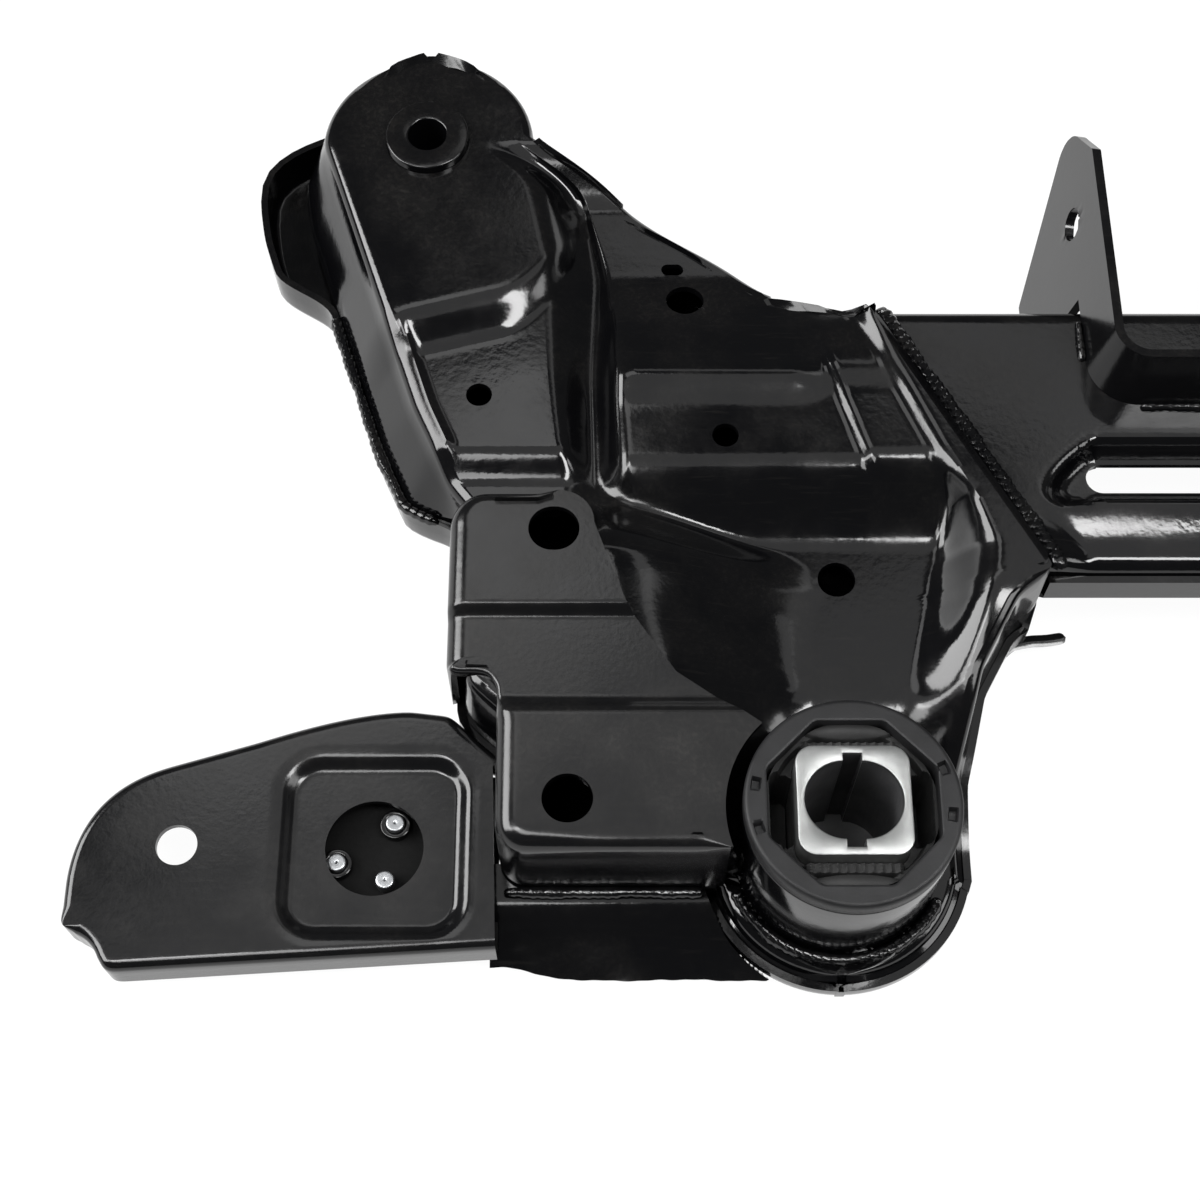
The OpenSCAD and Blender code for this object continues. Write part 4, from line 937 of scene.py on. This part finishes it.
class SUBFRAME_OT_brackets(bpy.types.Operator):
    """Pad brackets, wing brackets, rear skirts and neck tabs"""
    bl_idname = "subframe.brackets"
    bl_label = "Brackets"

    def execute(self, context):
        sheet = context.scene.subframe.sheet
        under_skirt, under_tab = (230, -185, -100), (70, -60, -100)
        both_sides("pad_bracket_skin", *pad_bracket(), "satin", "satin_black", ["pad_bracket"], sheet)
        both_sides("wing_bracket_skin", *wing_bracket(), "satin", "satin_black", ["wing_bracket"], sheet)
        both_sides("rear_skirt_plate", *rear_skirt(), "gloss", "gloss_black", ["rear_skirt"], sheet,
                   under_skirt)
        both_sides("neck_tab_strip", *neck_tab(), "satin", "satin_black", ["neck_tab"], sheet, under_tab)
        return {"FINISHED"}


class SUBFRAME_OT_bushes(bpy.types.Operator):
    """Bush tubes, rings, rubbers and cores"""
    bl_idname = "subframe.bushes"
    bl_label = "Bushes"

    def execute(self, context):
        both_sides("bush_tube_wall", *bush_tube(), "gloss", "gloss_black", ["bush_tube"])
        both_sides("bush_ring", *bush_sleeve(), "ring", "bush_sleeve", ["bush_sleeve"])
        both_sides("bush_rubber_block", *bush_rubber(), "rubber", "rubber", ["bush_rubber"])
        both_sides("bush_core_bar", *bush_core(), "aluminium", "aluminium_core", ["bush_core"])
        # The dark bore sleeve is painted shade laid over the core's aluminium wall
        both_sides("bush_core_bore", *core_bore(), "bore", "aluminium_core")
        return {"FINISHED"}


class SUBFRAME_OT_middle(bpy.types.Operator):
    """Cross-member and clevis"""
    bl_idname = "subframe.middle"
    bl_label = "Cross-member and clevis"

    def execute(self, context):
        sheet = context.scene.subframe.sheet
        put("crossmember_skin", *crossmember(), "gloss", "gloss_black", ["crossmember_upper"], sheet)
        put("clevis_plate", *clevis(), "satin", "satin_black", ["clevis"], CLEVIS_SHEET)
        return {"FINISHED"}


class SUBFRAME_OT_pins(bpy.types.Operator):
    """Locating pins with their collars, and the mounting sleeves of the arms"""
    bl_idname = "subframe.pins"
    bl_label = "Pins and sleeves"

    def execute(self, context):
        places = np.array([(330, -143), (352, -159), (333, -166)], float)
        pin = rounded_section([(0.05, 15.2), (3.75, 15.2), (3.75, 21.2), (0.05, 21.2)], 1.0)
        collar = rounded_section([(3.95, 15.2), (5.95, 15.2), (5.95, 19.2), (3.95, 19.2)], 0.6)
        sleeve = rounded_section([(8.25, 3.2), (18, 3.2), (18, 64), (8.25, 64)], 1.0)
        pins = joined([lathe(pin, q, 40) for q in places])
        collars = joined([lathe(collar, q, 40) for q in places[:2]])
        both_sides("wing_pin", *pins, "zinc", "zinc_steel", ["wing_pins"])
        both_sides("pin_collar", *collars, "gloss", "gloss_black", ["pin_sleeves"])
        both_sides("arm_mount_sleeve", *lathe(sleeve, NOSE, 96), "gloss", "gloss_black", ["arm_sleeve"])
        return {"FINISHED"}


class SUBFRAME_OT_welds(bpy.types.Operator):
    """Weld beads"""
    bl_idname = "subframe.welds"
    bl_label = "Welds"

    def execute(self, context):
        pitch, height = context.scene.subframe.weld_pitch, context.scene.subframe.weld_height
        outer, _, _, y = box_rows(2.0)
        line = np.stack([outer, y], -1) + edge_normals(outer, y, 1) * (arm_run(y) + LAP + 2.0)[:, None]
        arm_path = lifted(line[(y > -9) & (y < NOSE[1] - 60)], PAN_RIM + 0.1)
        inset = [4.1, 0]
        seam_path = lifted(mix(SEAM_FRONT - inset, SEAM_REAR - inset, np.linspace(0, 1, 200)[:, None]), 60.2)
        eye_path = lifted(arc(*BUSH, 42.6, 205, 340, 160), 16.2)
        x = np.linspace(210, 287, 120)
        pad_path = np.column_stack([x, np.full(120, -171.0), np.full(120, 20.6)])
        for name, path, width, high, seed, weld in (
                ("arm_bead", arm_path, 5.0, 3.6, 0, "arm_weld"),
                ("seam_bead", seam_path, 7.6, height + 0.6, 1, "seam_weld"),
                ("eye_bead", eye_path, 5.0, 4.0, 0, "eye_weld"),
                ("pad_bead", pad_path, 4.4, 2.2, 2, "pad_weld")):
            both_sides(name, *bead(path, width, high, pitch, seed), "weld", "painted_weld", [weld])
        foot_width, foot_height, foot_z = 3.6, 2.4, 60.1
        cheeks = [np.column_stack([np.full(40, s * 51.4), np.linspace(43, 62, 40)]) for s in (-1, 1)]
        web = np.column_stack([np.linspace(-30, 30, 80), np.full(80, 21.1)])
        feet = [bead(lifted(path, foot_z), foot_width, foot_height, pitch, seed)
                for path, seed in ((cheeks[0], 3), (cheeks[1], 3), (web, 4))]
        put("clevis_bead", *joined(feet), "weld", "painted_weld", ["clevis_weld"])
        return {"FINISHED"}


class SUBFRAME_OT_plain(bpy.types.Operator):
    """Finishes of the solids that stay as they are"""
    bl_idname = "subframe.plain"
    bl_label = "Plain solids"

    def execute(self, context):
        for name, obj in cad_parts.items():
            kind = name.rsplit("_", 1)[0]
            if kind in PLAIN and name != "crossmember_upper":
                obj.data.materials.clear()
                obj.data.materials.append(FINISHES[PLAIN[kind]]())
        return {"FINISHED"}


class SUBFRAME_OT_stage(bpy.types.Operator):
    """Floor, lights and camera"""
    bl_idname = "subframe.stage"
    bl_label = "Stage"

    def execute(self, context):
        scene, opts = context.scene, context.scene.subframe
        s = np.linspace(-FLOOR_HALF, FLOOR_HALF, FLOOR_CELLS)
        p = np.stack(np.meshgrid(s, s, [FLOOR_Z], indexing="ij"), -1).reshape(-1, 3)
        mesh = bpy.data.meshes.new("floor")
        mesh.from_pydata(p.tolist(), [], grid_faces(FLOOR_CELLS, FLOOR_CELLS)[:, ::-1].tolist())
        mat, tree, out = new_material("pale_floor")
        shadow = node(tree, "ShaderNodeBsdfDiffuse", {"Color": (*opts.floor, 1.0)})
        dim = node(tree, "ShaderNodeBsdfDiffuse", {"Color": (FLOOR_DIM, FLOOR_DIM, FLOOR_DIM, 1.0)})
        glow = node(tree, "ShaderNodeEmission", {"Strength": FLOOR_GLOW})
        seen = node(tree, "ShaderNodeAddShader", {0: dim.outputs[0], 1: glow.outputs[0]})
        ray = node(tree, "ShaderNodeLightPath")
        some = node(tree, "ShaderNodeMath", operation="MAXIMUM",
                    inputs={0: ray.outputs["Is Camera Ray"], 1: ray.outputs["Is Glossy Ray"]})
        any_ray = node(tree, "ShaderNodeMath", operation="MAXIMUM",
                       inputs={0: some.outputs[0], 1: ray.outputs["Is Transmission Ray"]})
        both = node(tree, "ShaderNodeMixShader",
                    {0: any_ray.outputs[0], 1: shadow.outputs[0], 2: seen.outputs[0]})
        tree.links.new(both.outputs[0], out.inputs[0])
        mesh.materials.append(mat)
        floor = bpy.data.objects.new("floor", mesh)
        scene.collection.objects.link(floor)

        world = bpy.data.worlds.new("studio")
        scene.world = world
        world.use_nodes = True
        sky = world.node_tree.nodes["Background"]
        sky.inputs["Color"].default_value = SKY_COLOUR
        sky.inputs["Strength"].default_value = SKY_LEVEL * opts.light
        for name, place, size, watts in LAMPS:
            lamp = bpy.data.lights.new(name, "AREA")
            lamp.shape = "RECTANGLE"
            lamp.size, lamp.size_y = size
            lamp.energy = watts * opts.light
            obj = bpy.data.objects.new(name, lamp)
            obj.location = place
            aim = LAMP_AIM - np.array(place)
            tilt, turn = math.atan2(np.hypot(aim[0], aim[1]), -aim[2]), math.atan2(-aim[0], aim[1])
            obj.rotation_euler = (tilt, 0, turn)
            scene.collection.objects.link(obj)

        lens = bpy.data.cameras.new("camera")
        lens.lens, lens.sensor_width, lens.sensor_fit = LENS_MM, SENSOR_MM, "HORIZONTAL"
        lens.clip_start, lens.clip_end = 0.01, 50.0
        camera = bpy.data.objects.new("camera", lens)
        camera.location = CAMERA_PLACE
        camera.rotation_euler = (CAMERA_TILT, 0, 0)
        scene.collection.objects.link(camera)
        scene.camera = camera
        scene.view_settings.view_transform = "Standard"
        return {"FINISHED"}


PIECES = (SUBFRAME_OT_shells, SUBFRAME_OT_brackets, SUBFRAME_OT_bushes, SUBFRAME_OT_middle, SUBFRAME_OT_pins,
          SUBFRAME_OT_welds, SUBFRAME_OT_plain, SUBFRAME_OT_stage)


class SUBFRAME_PT_panel(bpy.types.Panel):
    """Lists the subframe's pieces"""
    bl_label = "Subframe"
    bl_idname = "SUBFRAME_PT_panel"
    bl_space_type = "VIEW_3D"
    bl_region_type = "UI"
    bl_category = "Subframe"

    def draw(self, context):
        for name in SUBFRAME_PG_settings.__annotations__:
            self.layout.prop(context.scene.subframe, name)
        for piece in PIECES:
            self.layout.operator(piece.bl_idname)


CLASSES = (SUBFRAME_PG_settings, *PIECES, SUBFRAME_PT_panel)


def register():
    """Registers the classes and hangs the settings on the scene."""
    for c in CLASSES:
        bpy.utils.register_class(c)
    bpy.types.Scene.subframe = bpy.props.PointerProperty(type=SUBFRAME_PG_settings)


def unregister():
    """Takes the settings and the classes away."""
    del bpy.types.Scene.subframe
    for c in reversed(CLASSES):
        bpy.utils.unregister_class(c)


def main():
    """Builds every piece and the stage."""
    register()
    for piece in PIECES:
        group, name = piece.bl_idname.split(".")
        getattr(getattr(bpy.ops, group), name)()


if __name__ == "__main__":
    main()
